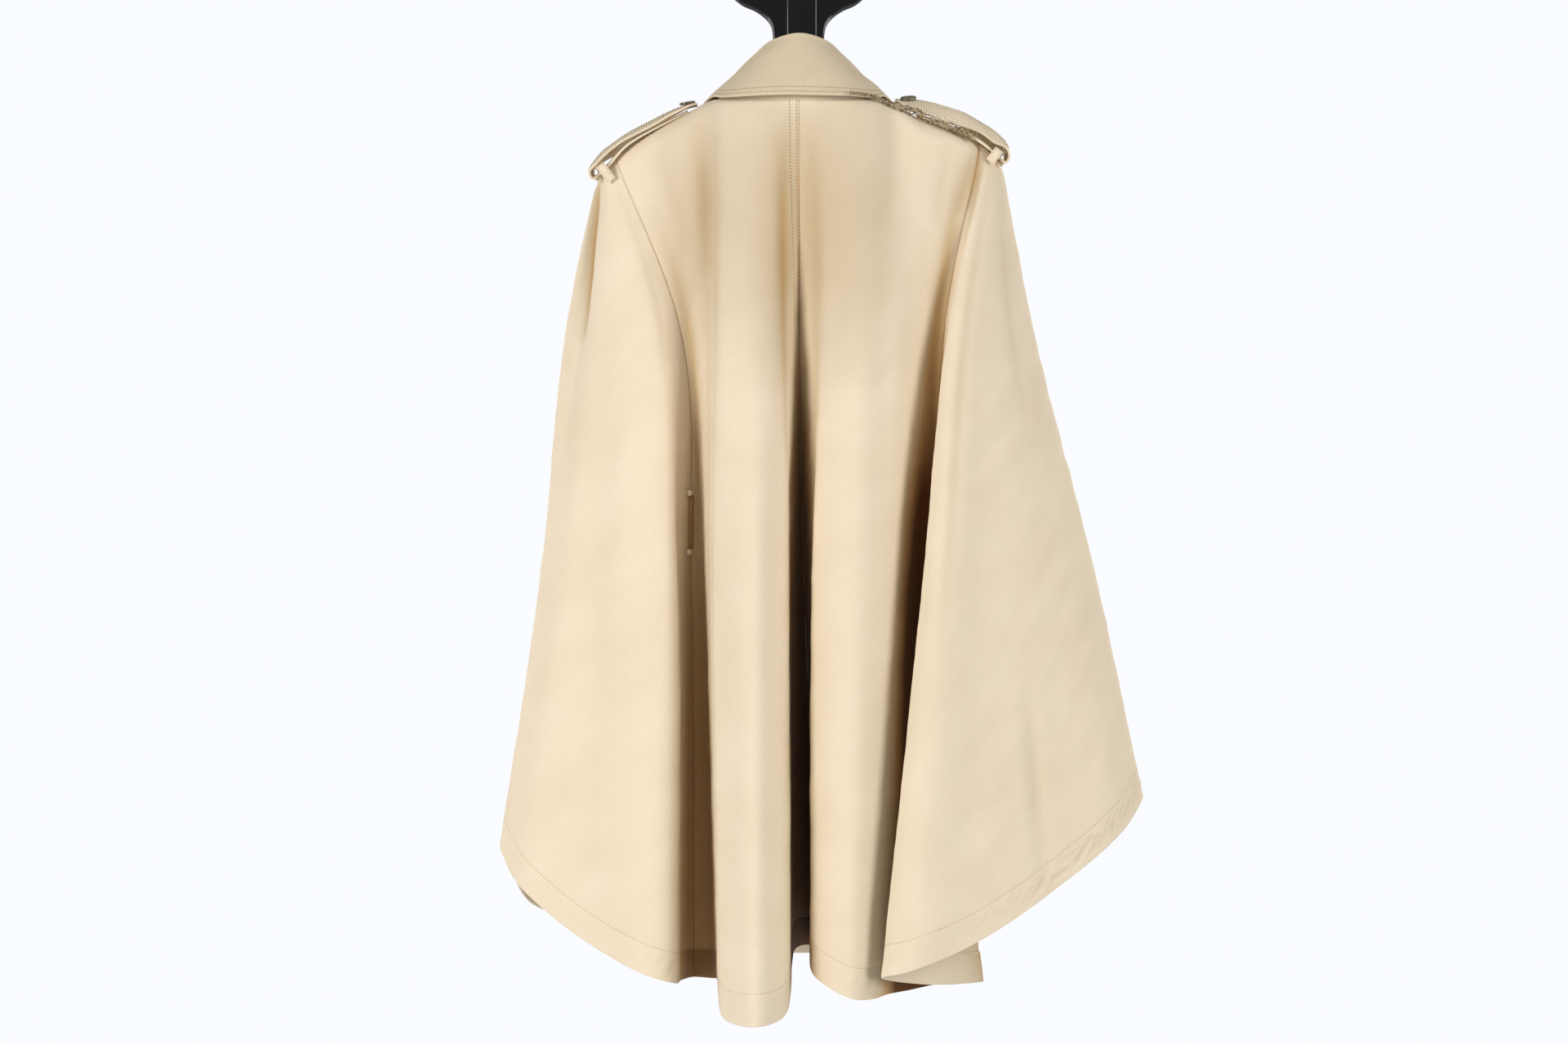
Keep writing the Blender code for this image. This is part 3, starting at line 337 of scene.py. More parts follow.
def new_material(name):
    """An empty node material: itself, its tree and its Principled shader."""
    made = bpy.data.materials.new(name)
    made.use_nodes = True
    return made, made.node_tree, made.node_tree.nodes["Principled BSDF"]


def add(tree, kind, settings=(), inputs=(), links=()):
    """A node with its settings, its input values and its links (input, (node, output))."""
    node = tree.nodes.new(kind)
    for key, value in settings:
        setattr(node, key, value)
    for key, value in inputs:
        node.inputs[key].default_value = value
    for key, (source, output) in links:
        tree.links.new(source.outputs[output], node.inputs[key])
    return node


def ramp(tree, source, output, stops):
    """A colour ramp over a source's value, through stops (value, colour)."""
    node = add(tree, "ShaderNodeValToRGB", links=[("Fac", (source, output))])
    elements = node.color_ramp.elements
    for element, (place, colour) in zip(elements, (stops[0], stops[-1])):
        element.position, element.color = place, colour
    for place, colour in stops[1:-1]:
        elements.new(place).color = colour
    return node


def set_inputs(tree, shader, rough=None, **values):
    """The shader's plain values, and its roughness over a source's value, as (source, output, low,
    high)."""
    for key, value in values.items():
        shader.inputs[key.replace("_", " ")].default_value = value
    if rough:
        source, output, low, high = rough
        spread = add(tree, "ShaderNodeMapRange", inputs=[("To Min", low), ("To Max", high)],
                     links=[("Value", (source, output))])
        tree.links.new(spread.outputs["Result"], shader.inputs["Roughness"])


def grained(name, noise, span, tones, rough=None, stretch=None, **values):
    """A material whose colour runs between two tones as a noise over the object goes through a
    span. Its roughness may follow the same noise, and the noise may be stretched."""
    made, tree, shader = new_material(name)
    spots = (add(tree, "ShaderNodeTexCoord"), "Object")
    if stretch:
        spots = (add(tree, "ShaderNodeMapping", inputs=[("Scale", stretch)],
                     links=[("Vector", spots)]), "Vector")
    grain = add(tree, "ShaderNodeTexNoise", inputs=noise, links=[("Vector", spots)])
    tone = ramp(tree, grain, "Fac", list(zip(span, tones)))
    tree.links.new(tone.outputs["Color"], shader.inputs["Base Color"])
    set_inputs(tree, shader, rough and (grain, "Fac", *rough), **values)
    return made


def cotton_gabardine(name):
    """Worsted-look cotton twill, tightly woven: a matt cloth with a faint steep diagonal, small
    slubs and a soft bloom of fibre ends where it turns away. The real twill lines lie 0.5 mm apart,
    too fine to show, so they are drawn 1.3 mm apart. The pattern follows the cloth's own map, and
    the "shade" attribute deepens the tone where cloth lies in a fold, where little light comes."""
    made, tree, shader = new_material(name)
    cloth_map = add(tree, "ShaderNodeUVMap", [("uv_map", "cloth")])
    turned_map = add(tree, "ShaderNodeMapping", inputs=[("Rotation", (0, 0, math.radians(27)))],
                     links=[("Vector", (cloth_map, "UV"))])
    twill = add(tree, "ShaderNodeTexWave", [("wave_type", "BANDS"), ("bands_direction", "X")],
                [("Scale", 2 * math.pi / 20 / (1.3 * MM)), ("Distortion", 1.2), ("Detail", 1.0),
                 ("Detail Scale", 0.6)], [("Vector", (turned_map, "Vector"))])
    slub = add(tree, "ShaderNodeTexNoise", inputs=[("Scale", 420.0), ("Detail", 3.0)],
               links=[("Vector", (cloth_map, "UV"))])
    mottle = add(tree, "ShaderNodeTexNoise", links=[("Vector", (cloth_map, "UV"))],
                 inputs=[("Scale", 14.0), ("Detail", 3.0), ("Roughness", 0.55)])
    weave = add(tree, "ShaderNodeMix", [("data_type", "FLOAT")], [("Factor", 0.55)],
                [("A", (twill, "Fac")), ("B", (slub, "Fac"))])
    blend = add(tree, "ShaderNodeMix", [("data_type", "FLOAT")], [("Factor", 0.5)],
                [("A", (weave, "Result")), ("B", (mottle, "Fac"))])
    colour = ramp(tree, blend, "Result", list(zip((0.28, 0.72), map(linear, CLOTH))))
    shade = add(tree, "ShaderNodeAttribute", [("attribute_name", "shade")])
    tones = ramp(tree, shade, "Fac", [(place, linear(tone)) for place, tone in CLOTH_TONES])
    shaded = add(tree, "ShaderNodeMix", [("data_type", "RGBA"), ("blend_type", "MULTIPLY")],
                 [(MIX_FACTOR, 1.0)], [(MIX_A, (colour, "Color")), (MIX_B, (tones, "Color"))])
    tree.links.new(shaded.outputs[MIX_COLOUR], shader.inputs["Base Color"])
    bumps = add(tree, "ShaderNodeBump", inputs=[("Strength", 0.25), ("Distance", 0.25 * MM)],
                links=[("Height", (weave, "Result"))])
    tree.links.new(bumps.outputs["Normal"], shader.inputs["Normal"])
    set_inputs(tree, shader, (weave, "Result", 0.78, 0.92), Specular_IOR_Level=0.25,
               Sheen_Weight=0.12, Sheen_Roughness=0.55, Sheen_Tint=linear(CLOTH_BLOOM))
    return made


def spun_thread(name, colour):
    """Polyester-core sewing thread: two plies twisted every millimetre or so, a little silkier than
    the cloth."""
    r, g, b, _ = linear(colour)
    return grained(name, [("Scale", 900.0), ("Detail", 1.0)], (0.35, 0.65),
                   ((r * 0.72, g * 0.70, b * 0.66, 1), (r, g, b, 1)), Roughness=0.6,
                   Sheen_Weight=0.1)


def polished_horn(name):
    """Buffalo-horn look polyester, tumbled to a gloss: smoky streaks under a clear surface."""
    return grained(name, [("Scale", 90.0), ("Detail", 4.0), ("Distortion", 1.5)], (0.35, 0.68),
                   map(linear, HORN), stretch=(1.0, 1.0, 3.5), Roughness=0.28, Coat_Weight=0.5,
                   Coat_Roughness=0.12)


def stud_metal(name):
    """Small pressed brass studs lacquered to match the cloth: satin and pale."""
    return grained(name, [("Scale", 700.0), ("Detail", 2.0)], (0.3, 0.7), map(linear, STUD),
                   Metallic=0.1, Roughness=0.38)


def gloss_abs(name):
    """Injection-moulded black ABS with a polished tool finish: a clear mirror gloss that breaks up
    only in faint handling haze."""
    return grained(name, [("Scale", 60.0), ("Detail", 5.0)], (0.2, 0.9), map(linear, PLASTIC),
                   (0.05, 0.14), IOR=1.54)


def drawn_wire(name):
    """Nickel-plated steel wire, drawn and bent cold: bright, with fine grain."""
    return grained(name, [("Scale", 350.0), ("Detail", 3.0)], (0.3, 0.7), map(linear, WIRE),
                   (0.15, 0.32), Metallic=1.0)


# ---- surfaces -----------------------------------------------------------------------------------
def column(table, names, *wanted):
    """The wanted columns of a table in metres, as an array with a row for each table row."""
    places = [names.index(name) for name in wanted]
    return np.array([[row[place] for place in places] for row in table], dtype=float) * MM


def unit(vectors):
    """Vectors at length one."""
    return vectors / np.maximum(np.linalg.norm(vectors, axis=-1, keepdims=True), 1e-12)


def between(value, start, end):
    """How far a value has come from a start to an end, kept within 0 and 1."""
    return np.clip((value - start) / (end - start), 0, 1)


def rising(low, part):
    """A share that rises from a low one to 1 as a part goes from 0 to 1."""
    return low + (1 - low) * part


def bell(offset, width, power=2):
    """A bell curve: 1 at no offset, and about a third at its width."""
    return np.exp(-np.abs(offset / width) ** power)


def arc(first, last, count, endpoint=True):
    """Points on a unit circle from one angle to another, in degrees."""
    angles = np.radians(np.linspace(first, last, count, endpoint=endpoint))
    return np.stack([np.cos(angles), np.sin(angles)], axis=-1)


def circle(count):
    """Points all round a unit circle."""
    return arc(0, 360, count, endpoint=False)


def read_at(distances, run, values):
    """Rows of values where the distance run reaches each of the distances."""
    return np.stack([np.interp(distances, run, line) for line in values.T], axis=-1)


def run_along(points, axis):
    """Distance run along one axis of a grid of points, from its start."""
    steps = np.linalg.norm(np.diff(points, axis=axis), axis=-1)
    start = np.zeros_like(np.take(steps, [0], axis=axis))
    return np.concatenate([start, np.cumsum(steps, axis=axis)], axis=axis)


def headings(path):
    """Unit directions along a path."""
    return unit(np.gradient(path, axis=0))


def surface_normals(points):
    """Unit normals of a grid of points. On the cape they point away from the wearer."""
    return unit(np.cross(np.gradient(points, axis=0), np.gradient(points, axis=1)))


def curve_through(knots, values, at):
    """Smooth curves through values (knots x curves x 3), read at the same parameter as the knots.

    Each span is a cubic whose end slopes are those of the parabola through a knot and its two
    neighbours, so the curve keeps close to straight between knots that lie in line.
    """
    widths = np.diff(knots, axis=0)[..., None]
    slopes = np.diff(values, axis=0) / widths
    ends = np.concatenate([slopes[:1], slopes, slopes[-1:]])
    spans = np.concatenate([widths[:1], widths, widths[-1:]])
    tangents = (ends[:-1] * spans[1:] + ends[1:] * spans[:-1]) / (spans[:-1] + spans[1:])
    index = (at[:, None] > knots[None, 1:-1]).sum(axis=1)
    curves = np.arange(knots.shape[1])[None, :]
    width = widths[index, curves]
    part = ((at - knots[index, curves]) / width[..., 0])[..., None]
    start, end = values[index, curves], values[index + 1, curves]
    leave, arrive = tangents[index, curves] * width, tangents[index + 1, curves] * width
    cubed, squared = part ** 3, part ** 2
    return (start * (2 * cubed - 3 * squared + 1) + end * (3 * squared - 2 * cubed)
            + leave * (cubed - 2 * squared + part) + arrive * (cubed - squared))


def smooth(table, span=None, count=None):
    """A smooth curve through the rows of a table, in so many steps from row to row or points in
    all."""
    values = np.array(table, dtype=float)[:, None]
    last = len(values) - 1
    at = np.linspace(0, last, count or span * last + 1)[:, None]
    return curve_through(np.arange(last + 1.0)[:, None], values, at)[:, 0]


def fold_place(name):
    """A fold's place in the FOLDS table."""
    return [row[0] for row in FOLDS].index(name)


def grid_column(places, name):
    """The grid's column that lies on a fold."""
    return int(np.argmin(np.abs(places - fold_place(name))))


def by_fold(places, table):
    """Values at the grid's places from a table of folds and values."""
    return np.interp(places, [fold_place(name) for name, _ in table], [value for _, value in table])


def drops():
    """Each fold's height from its seam to its hem."""
    return (column(FOLDS, FOLD_COLUMNS, "seam_z") - column(FOLDS, FOLD_COLUMNS, "hem_z"))[:, 0]


def seam_names():
    """The folds that panels begin or end at, in order."""
    return sorted({name for _, *ends in PANELS for name in ends})


def fold_lines(shares):
    """Points down every fold line at shares of its length (rows x folds): rows x folds x 3.

    The plan position follows a curve through top, chest, waist and hem. Over the first rows it
    leaves the seam along a quarter ellipse, which is the cloth rounding over the hanger's arm.
    """
    seam = column(FOLDS, FOLD_COLUMNS, "seam_x", "seam_y", "seam_z")
    plan = np.stack([column(FOLDS, FOLD_COLUMNS, level + "_x", level + "_y")
                     for level in ("top", "chest", "waist", "hem")])
    heights = np.stack([seam[:, 2], np.full(len(FOLDS), CHEST_Z), np.full(len(FOLDS), WAIST_Z),
                        column(FOLDS, FOLD_COLUMNS, "hem_z")[:, 0]])
    angle = between(shares, 0, ROUND_SHARE) * math.pi / 2
    below = between(shares, ROUND_SHARE, 1)
    height = seam[:, 2] - ARM_ROUND * (1 - np.cos(angle)) - (drops() - ARM_ROUND) * below
    body = curve_through(-heights, plan, -height)
    spot = seam[None, :, :2] + np.sin(angle)[..., None] * (body - seam[None, :, :2])
    return np.concatenate([spot, height[..., None]], axis=-1)


def grid_shares():
    """Shares for the grid's rows on every fold line. The last rows keep their distance from the
    hem."""
    near_hem = 1 - np.array(HEM_ROWS[::-1])[:, None] * MM / drops()
    main = np.concatenate([np.linspace(0, ROUND_SHARE, ROUND_ROWS, endpoint=False),
                           np.linspace(ROUND_SHARE, 1, DROP_ROWS, endpoint=False)])[:, None]
    return np.concatenate([main * near_hem[0], near_hem])


def grid_places(lines):
    """Fold places for the grid's columns: more where a span is wide, where the cloth turns sharply,
    and just beside a seam."""
    chords = np.diff(lines, axis=1)[..., :2]
    width = np.linalg.norm(chords, axis=-1).max(axis=0)
    bearing = np.arctan2(chords[..., 1], chords[..., 0])[len(lines) // 3:]
    turn = np.abs((np.diff(bearing, axis=1) + math.pi) % (2 * math.pi) - math.pi).max(axis=0)
    turning = np.degrees(np.concatenate([[0], turn]) + np.concatenate([turn, [0]]))
    steps = np.ceil(np.maximum(width / STEP_WIDTH, turning / STEP_TURN))
    seams = [fold_place(name) for name in seam_names()]
    places = []
    for place, count in enumerate(np.clip(steps, *STEP_LIMITS).astype(int)):
        parts = set(np.arange(count) / count)
        parts |= set(BESIDE_SEAM) if place in seams else set()
        parts |= {1 - part for part in BESIDE_SEAM} if place + 1 in seams else set()
        places += [place + part for part in sorted(parts)]
    return np.array(places + [len(FOLDS) - 1.0])


def cape_surface(places, lines):
    """The cape's surface at the grid's places. Across the folds each row is a smooth curve through
    the fold lines, its parameter growing with the square root of the distance between them."""
    lines = lines.swapaxes(0, 1)
    steps = np.sqrt(np.maximum(np.linalg.norm(np.diff(lines, axis=0), axis=-1), 0.5 * MM))
    knots = np.concatenate([np.zeros((1, steps.shape[1])), np.cumsum(steps, axis=0)])
    first = np.clip(np.floor(places).astype(int), 0, len(FOLDS) - 2)
    part = (places - first)[:, None]
    at = knots[first] * (1 - part) + knots[first + 1] * part
    return curve_through(knots, lines, at).swapaxes(0, 1)


def soft_noise(across, down, wavelength, seed, waves=9):
    """A smooth random field in -1..1: a sum of plane waves of about one wavelength."""
    draws = np.random.default_rng(seed)
    total = np.zeros_like(across)
    for _ in range(waves):
        heading, phase = draws.uniform(0, 2 * math.pi, 2)
        number = 2 * math.pi / (wavelength * draws.uniform(0.7, 1.4))
        total += np.sin(number * (across * math.cos(heading) + down * math.sin(heading)) + phase)
    return total / math.sqrt(waves) / 1.4


def fold_shade(points, directions=72):
    """How little light reaches the cloth, from 0 to 1: it grows with the distance of a point inside
    the outline round its row, which is the least of the distances to that outline's tangents."""
    reach = points[..., :2] @ circle(directions).T
    inside = (reach.max(axis=1, keepdims=True) - reach).min(axis=2)
    part = between(inside, SHADE_START, SHADE_FULL)
    return SHADE_MOST * part * part * (3 - 2 * part)


def relief(points, places, shares):
    """How far the cloth stands out of the smooth surface, how far it lies from the hem, and its
    shade.

    It has a slight waviness, creases that grow and die along their lines, the dent of the hem's
    stitches with the puckers below them, and the roll of the cloth into each seam.
    """
    across, down = run_along(points, 1), run_along(points, 0)
    folds = np.arange(len(FOLDS))
    share = np.stack([np.interp(places, folds, row) for row in shares])
    from_hem = (1 - share) * np.interp(places, folds, drops())
    lift = sum(height * soft_noise(across, down, *wave) for height, *wave in WAVES)
    lift *= between(share, 0, STILL_SHARE)
    low = between(share, LOW_FROM, LOW_TO)
    shade = fold_shade(points) * by_fold(places, SHADE_BY_FOLD)
    shade *= 1 + low * by_fold(places, LOW_SHADE_BY_FOLD)
    shade *= 1 + HEM_SHADE / (1 + np.exp(np.clip((from_hem - HEM_DEPTH) / MM, -30, 30)))
    shade *= 1 - LIT_SHARE * bell(places - LIT_PLACE, LIT_SPREAD) * bell(from_hem, LIT_HEIGHT)
    for place_1, share_1, place_2, share_2, half_width, depth, shadow in CREASES:
        part = between(share, share_1, share_2)
        path = place_1 + (place_2 - place_1) * part[:, 0]
        middle = np.array([np.interp(spot, places, row) for spot, row in zip(path, across)])
        trough = bell(across - middle[:, None], half_width * MM) * np.sin(math.pi * part) ** 0.7
        lift -= depth * MM * trough
        shade = shade + shadow * trough * (1 - shade)
    wave = np.sin(2 * math.pi * across / PUCKER_PITCH + 3 * soft_noise(across, down, 0.06, 5))
    strength = np.clip(0.3 + 0.6 * soft_noise(across, 0 * down, 0.25, 6), 0.1, 1)
    for place, spread in PUCKERED:
        strength = strength + bell(places - place, spread)
    strength = strength * bell(from_hem - HEM_DEPTH * 0.55, PUCKER_WIDTH)
    lift += PUCKER * wave * strength - HEM_DENT * bell(from_hem - HEM_DEPTH, DENT_WIDTH)
    shade = shade + PUCKER_SHADE * np.clip(-wave, 0, 1) * strength * (1 - shade)
    for name in seam_names():
        beside = across - across[:, [grid_column(places, name)]]
        lift -= SEAM_ROLL * bell(beside, ROLL_WIDTH, ROLL_POWER)
        shade = shade + SEAM_SHADE * bell(beside, SEAM_SHADE_WIDTH) * (1 - shade)
    return lift, from_hem, shade


# ---- meshes -------------------------------------------------------------------------------------
def put(name, data):
    """A new object in the scene."""
    placed = bpy.data.objects.new(name, data)
    bpy.context.scene.collection.objects.link(placed)
    return placed


def add_piece(name, vertices, faces, surface, replaces=(), sharp=40):
    """An object of a mesh that rides on the one body: its faces, material and the CAD nodes
    that it stands for."""
    mesh = bpy.data.meshes.new(name)
    mesh.from_pydata(np.reshape(vertices, (-1, 3)).tolist(), [], [list(map(int, f)) for f in faces])
    mesh.update()
    mesh.shade_smooth()
    mesh.set_sharp_from_angle(angle=math.radians(sharp))
    mesh.materials.append(surface)
    piece = put(name, mesh)
    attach(piece, "root")
    if replaces:
        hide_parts(*replaces)
    return piece


def outwards(piece):
    """Turns the faces of a piece outwards."""
    shape = bmesh.new()
    shape.from_mesh(piece.data)
    bmesh.ops.recalc_face_normals(shape, faces=shape.faces)
    shape.to_mesh(piece.data)
    shape.free()


def wall(name, points, normals, outer, inner, surface, replaces=(), shade=0.0):
    """A wall of cloth: a sheet of points moved out by outer, one moved in by inner, and the rim
    between them. Its map is the distance run across and down the cloth, in metres, and its shade
    is the same on both sheets."""
    outer, inner = (np.broadcast_to(depth, points.shape[:2])[..., None] for depth in (outer, inner))
    sheets = np.stack([points + normals * outer, points - normals * inner])
    index = numbered(points)
    front = np.stack([index[1:, :-1], index[1:, 1:], index[:-1, 1:], index[:-1, :-1]], axis=-1)
    front = front.reshape(-1, 4)
    back = front[:, [0, 3, 2, 1]] + index.size
    border = np.concatenate([index[0, :-1], index[:-1, -1], index[-1, :0:-1], index[:0:-1, 0]])
    beside = np.roll(border, -1)
    rim = np.stack([border, beside, beside + index.size, border + index.size], axis=-1)
    piece = add_piece(name, sheets, np.concatenate([front, back, rim]), surface,
                      replaces)
    mesh = piece.data
    flat = np.stack([run_along(points, 1), run_along(points, 0)], axis=-1).reshape(-1, 2)
    corners = np.empty(len(mesh.loops), dtype=np.int32)
    mesh.loops.foreach_get("vertex_index", corners)
    cloth_map = mesh.uv_layers.new(name="cloth")
    cloth_map.data.foreach_set("uv", flat[corners % index.size].ravel())
    shade = np.broadcast_to(shade, (2, *index.shape)).astype(np.float32)
    mesh.attributes.new("shade", 'FLOAT', 'POINT').data.foreach_set("value", shade.ravel())


def pull_in(points, direction):
    """The grid with one end column moved half a seam gap towards its neighbour."""
    moved = points.copy()
    end, neighbour = (0, 1) if direction > 0 else (-1, -2)
    moved[:, end] += unit(points[:, neighbour] - points[:, end]) * GAP / 2
    return moved


def at_distance(points, normals, distance, lift=OUTER, from_end=False):
    """The line on the cloth's right side that keeps a distance in millimetres from a grid's first
    column, or from its last one, and its normals."""
    if from_end:
        points, normals = points[:, ::-1], normals[:, ::-1]
    line, facing = (np.stack([read_at(distance * MM, run, row)
                              for run, row in zip(run_along(points, 1), values)])
                    for values in (points, normals))
    return line + facing * lift, facing


def stitches(name, lines, surface, pitch=3.1, length=2.1, width=0.8, rise=0.3):
    """Rows of stitches, each a spindle that dips into the cloth at both ends.

    lines are (points, normals) on the cloth's right side. A stitch is two square rings and two
    tips: along the line at -1/2, -1/4, 1/4 and 1/2 of its length, standing out by rise between."""
    ring = [(-width / 2, 0.05), (0, rise), (width / 2, 0.05), (0, -0.2)]
    shape = [(-0.5, 0, -0.15), *[(-0.25, *spot) for spot in ring],
             *[(0.25, *spot) for spot in ring], (0.5, 0, -0.15)]
    bodies = []
    for points, normals in lines:
        run = run_along(points[:, None], 0)[:, 0]
        count = int(run[-1] / (pitch * MM))
        middles = (np.arange(count) + 0.5) * run[-1] / count
        spots, out = read_at(middles, run, points), unit(read_at(middles, run, normals))
        along = unit(read_at(middles + 0.3 * MM, run, points)
                     - read_at(middles - 0.3 * MM, run, points))
        side = np.cross(out, along)
        bodies.append(np.stack([spots + MM * (a * length * along + b * side + c * out)
                                for a, b, c in shape], axis=1))
    vertices = np.concatenate(bodies)
    pattern = [(0, 2, 1), (0, 3, 2), (0, 4, 3), (0, 1, 4), (9, 5, 6), (9, 6, 7), (9, 7, 8),
               (9, 8, 5), (1, 2, 6, 5), (2, 3, 7, 6), (3, 4, 8, 7), (4, 1, 5, 8)]
    faces = [[corner + len(shape) * number for corner in face] for number in range(len(vertices))
             for face in pattern]
    add_piece(name, vertices, faces, surface, sharp=80)


def numbered(points):
    """The vertex numbers of a grid of points."""
    return np.arange(points[..., 0].size).reshape(points.shape[:2])


def bands(index):
    """The faces between rings of vertex numbers."""
    beside = np.roll(index, -1, axis=1)
    return np.stack([index[:-1], beside[:-1], beside[1:], index[1:]], -1).reshape(-1, 4).tolist()


def closed(index):
    """The faces between rings of vertex numbers, and a flat face at each end."""
    return bands(index) + [index[0][::-1].tolist(), index[-1].tolist()]


def loft(name, rings, surface, replaces, sharp=50):
    """A closed solid through rings of points."""
    faces = closed(numbered(rings))
    outwards(add_piece(name, rings, faces, surface, replaces, sharp))


def round_path(path, side, radius, count):
    """Rings of points round a path, square to it, from a direction beside it at each point."""
    out = np.cross(headings(path), side)
    across, up = circle(count).T[..., None]
    return path[:, None] + radius * (side[:, None] * across + out[:, None] * up)


def tubes(name, paths, radius, surface, sides=6):
    """Round threads along paths, closed at both ends."""
    vertices, faces = [], []
    for path in paths:
        tangent = headings(path)
        helper = np.where(np.abs(tangent[:, 2:]) > 0.8, [[1.0, 0.0, 0.0]], [[0.0, 0.0, 1.0]])
        ring = round_path(path, unit(np.cross(tangent, helper)), radius * MM, sides)
        faces += closed(len(vertices) + numbered(ring))
        vertices += ring.reshape(-1, 3).tolist()
    outwards(add_piece(name, vertices, faces, surface, sharp=80))


def turned(profile, radius, height, count):
    """Rings of points round the Z axis, from a profile in shares of a radius and a height."""
    return np.stack([np.column_stack([across * radius * circle(count), np.full(count, up * height)])
                     for across, up in profile])


def facing_turn(axis):
    """The matrix that turns rows of points from +Z to an axis."""
    return np.array(Vector(axis).to_track_quat('Z', 'Y').to_matrix()).T


# ---- the cape -----------------------------------------------------------------------------------
def dress_panels(gabardine):
    """The six panels, each one stretch of the cape's surface between two seams. They thin out
    towards the hem's edge, and are thicker inwards where the hem is turned up."""
    shares = grid_shares()
    lines = fold_lines(shares)
    places = grid_places(lines)
    surface = cape_surface(places, lines)
    lift, from_hem, shade = relief(surface, places, shares)
    surface = surface + surface_normals(surface) * lift[..., None]
    normals = surface_normals(surface)
    edge = between(from_hem, 0, HEM_EDGE)
    turned_up = between(from_hem, *HEM_STEP)
    outer = OUTER * rising(0.55, edge)
    inner = INNER * rising(0.4, edge) + HEM_TURNING * turned_up * rising(0.3, edge)
    panels = {}
    for name, first, last in PANELS:
        span = slice(grid_column(places, first), grid_column(places, last) + 1)
        points = pull_in(pull_in(surface[:, span], 1), -1)
        facing = normals[:, span].copy()
        points[0] += unit(points[1] - points[0]) * GAP / 2
        if not name.startswith("side"):
            side = 1 if name.startswith("front") else -1
            on_seam = np.abs(points[0, :, 1]) < 2 * MM
            points[0, :, 1] = side * np.maximum(side * points[0, :, 1], GAP / 2)
            facing[0, on_seam, 1] = 0
            facing[0] = unit(facing[0])
        wall(name.replace("_", "_panel_"), points, facing, outer[:, span], inner[:, span],
             gabardine, (name,), shade[:, span])
        panels[name] = points, facing, from_hem[:, span]
    return panels, (surface, normals, places)


def sew_panels(panels, thread, hem_thread, inside_thread):
    """Topstitching: two rows left of the centre back seam, two along each front edge, and one round
    the hem, which shows on the wrong side too."""
    for name, edges in (("stitching_centre_back", (("back_left", True),)),
                        ("stitching_front_edges", (("front_left", False), ("front_right", True)))):
        stitches(name, [at_distance(*panels[panel][:2], distance, from_end=from_end)
                        for panel, from_end in edges for distance in SEAM_STITCH_ROWS], thread)
    hem, hem_inside = [], []
    for points, normals, from_hem in panels.values():
        row = int(np.argmin(np.abs(from_hem[:, 0] - HEM_DEPTH)))
        line, facing = points[row], normals[row]
        hem.append((line + facing * OUTER, facing))
        hem_inside.append((line - facing * (INNER + HEM_TURNING), -facing))
    stitches("stitching_hem", hem, hem_thread)
    stitches("stitching_hem_inside", hem_inside, inside_thread)


def collar_line(part):
    """A line of the whole collar, from the left front end to the right one."""
    right = column(COLLAR, COLLAR_COLUMNS, part + "_x", part + "_y", part + "_z")
    return smooth(np.concatenate([right[:0:-1] * (-1, 1, 1), right]), COLLAR_SPAN)


def dress_collar(gabardine, thread):
    """The stand and the fall. The fall rolls over the fold, bows out on its way down and is
    topstitched twice along its edge."""
    neck, fold, edge = map(collar_line, ("neck", "fold", "edge"))
    up = np.array([0.0, 0.0, 1.0])
    outward = -unit(np.cross(up, np.gradient(fold, axis=0)))
    centre = fold - up * COLLAR_ROLL
    seam = centre - outward * COLLAR_ROLL - up * COLLAR_SEAM_DEPTH
    below = seam - up * COLLAR_SEAM_DEPTH
    stand = np.stack([seam - up * GAP] + [below * (1 - part) + neck * part
                                          for part in np.linspace(0, 1, 14)])
    wall("collar_stand_band", stand, surface_normals(stand), STAND_HALF, STAND_HALF, gabardine,
         ("collar_stand",))
    roll = [seam] + [centre + COLLAR_ROLL * (up * math.sin(angle) - outward * math.cos(angle))
                     for angle in np.linspace(0, math.pi, 13)]
    shares = np.concatenate([np.linspace(0, 0.86, 16)[1:], np.linspace(0.88, 1, 10)])
    fall = np.stack(roll + [
        roll[-1] * (1 - part) + edge * part + (outward + up) * COLLAR_BULGE * part * (1 - part) * 2
        for part in shares])
    across, down = run_along(fall, 1), run_along(fall, 0)
    from_edge = down[-1] - down
    lift = 0.5 * MM * soft_noise(across, down, 0.05, 11) * between(down, 0, 12 * MM)
    for distance in COLLAR_STITCH_ROWS:
        lift -= COLLAR_DENT * bell(from_edge - distance * MM, DENT_WIDTH)
    fall = fall + surface_normals(fall) * lift[..., None]
    normals = surface_normals(fall)
    thick = FALL_HALF * rising(0.55, between(from_edge, 0, MM))
    wall("collar_fall_leaf", fall, normals, thick, thick, gabardine, ("collar_fall",), COLLAR_SHADE)
    from_below = [values[::-1].swapaxes(0, 1) for values in (fall, normals)]
    stitches("stitching_collar", [at_distance(*from_below, distance, FALL_HALF)
                                  for distance in COLLAR_STITCH_ROWS], thread)


def strap_points(side):
    """The strap's middle surface: along its length, and across from the back edge to the front."""
    line = smooth(column(STRAPS[side], STRAP_COLUMNS, *STRAP_COLUMNS), STRAP_SPAN)
    x, z, half, drop, curl = line.T[..., None]
    part = np.linspace(-1, 1, STRAP_ACROSS)
    return np.stack([np.broadcast_to(x, (len(x), STRAP_ACROSS)), STRAP_CENTRE_Y + half * part,
                     z + drop / 2 * part - curl * part ** 2], axis=-1)


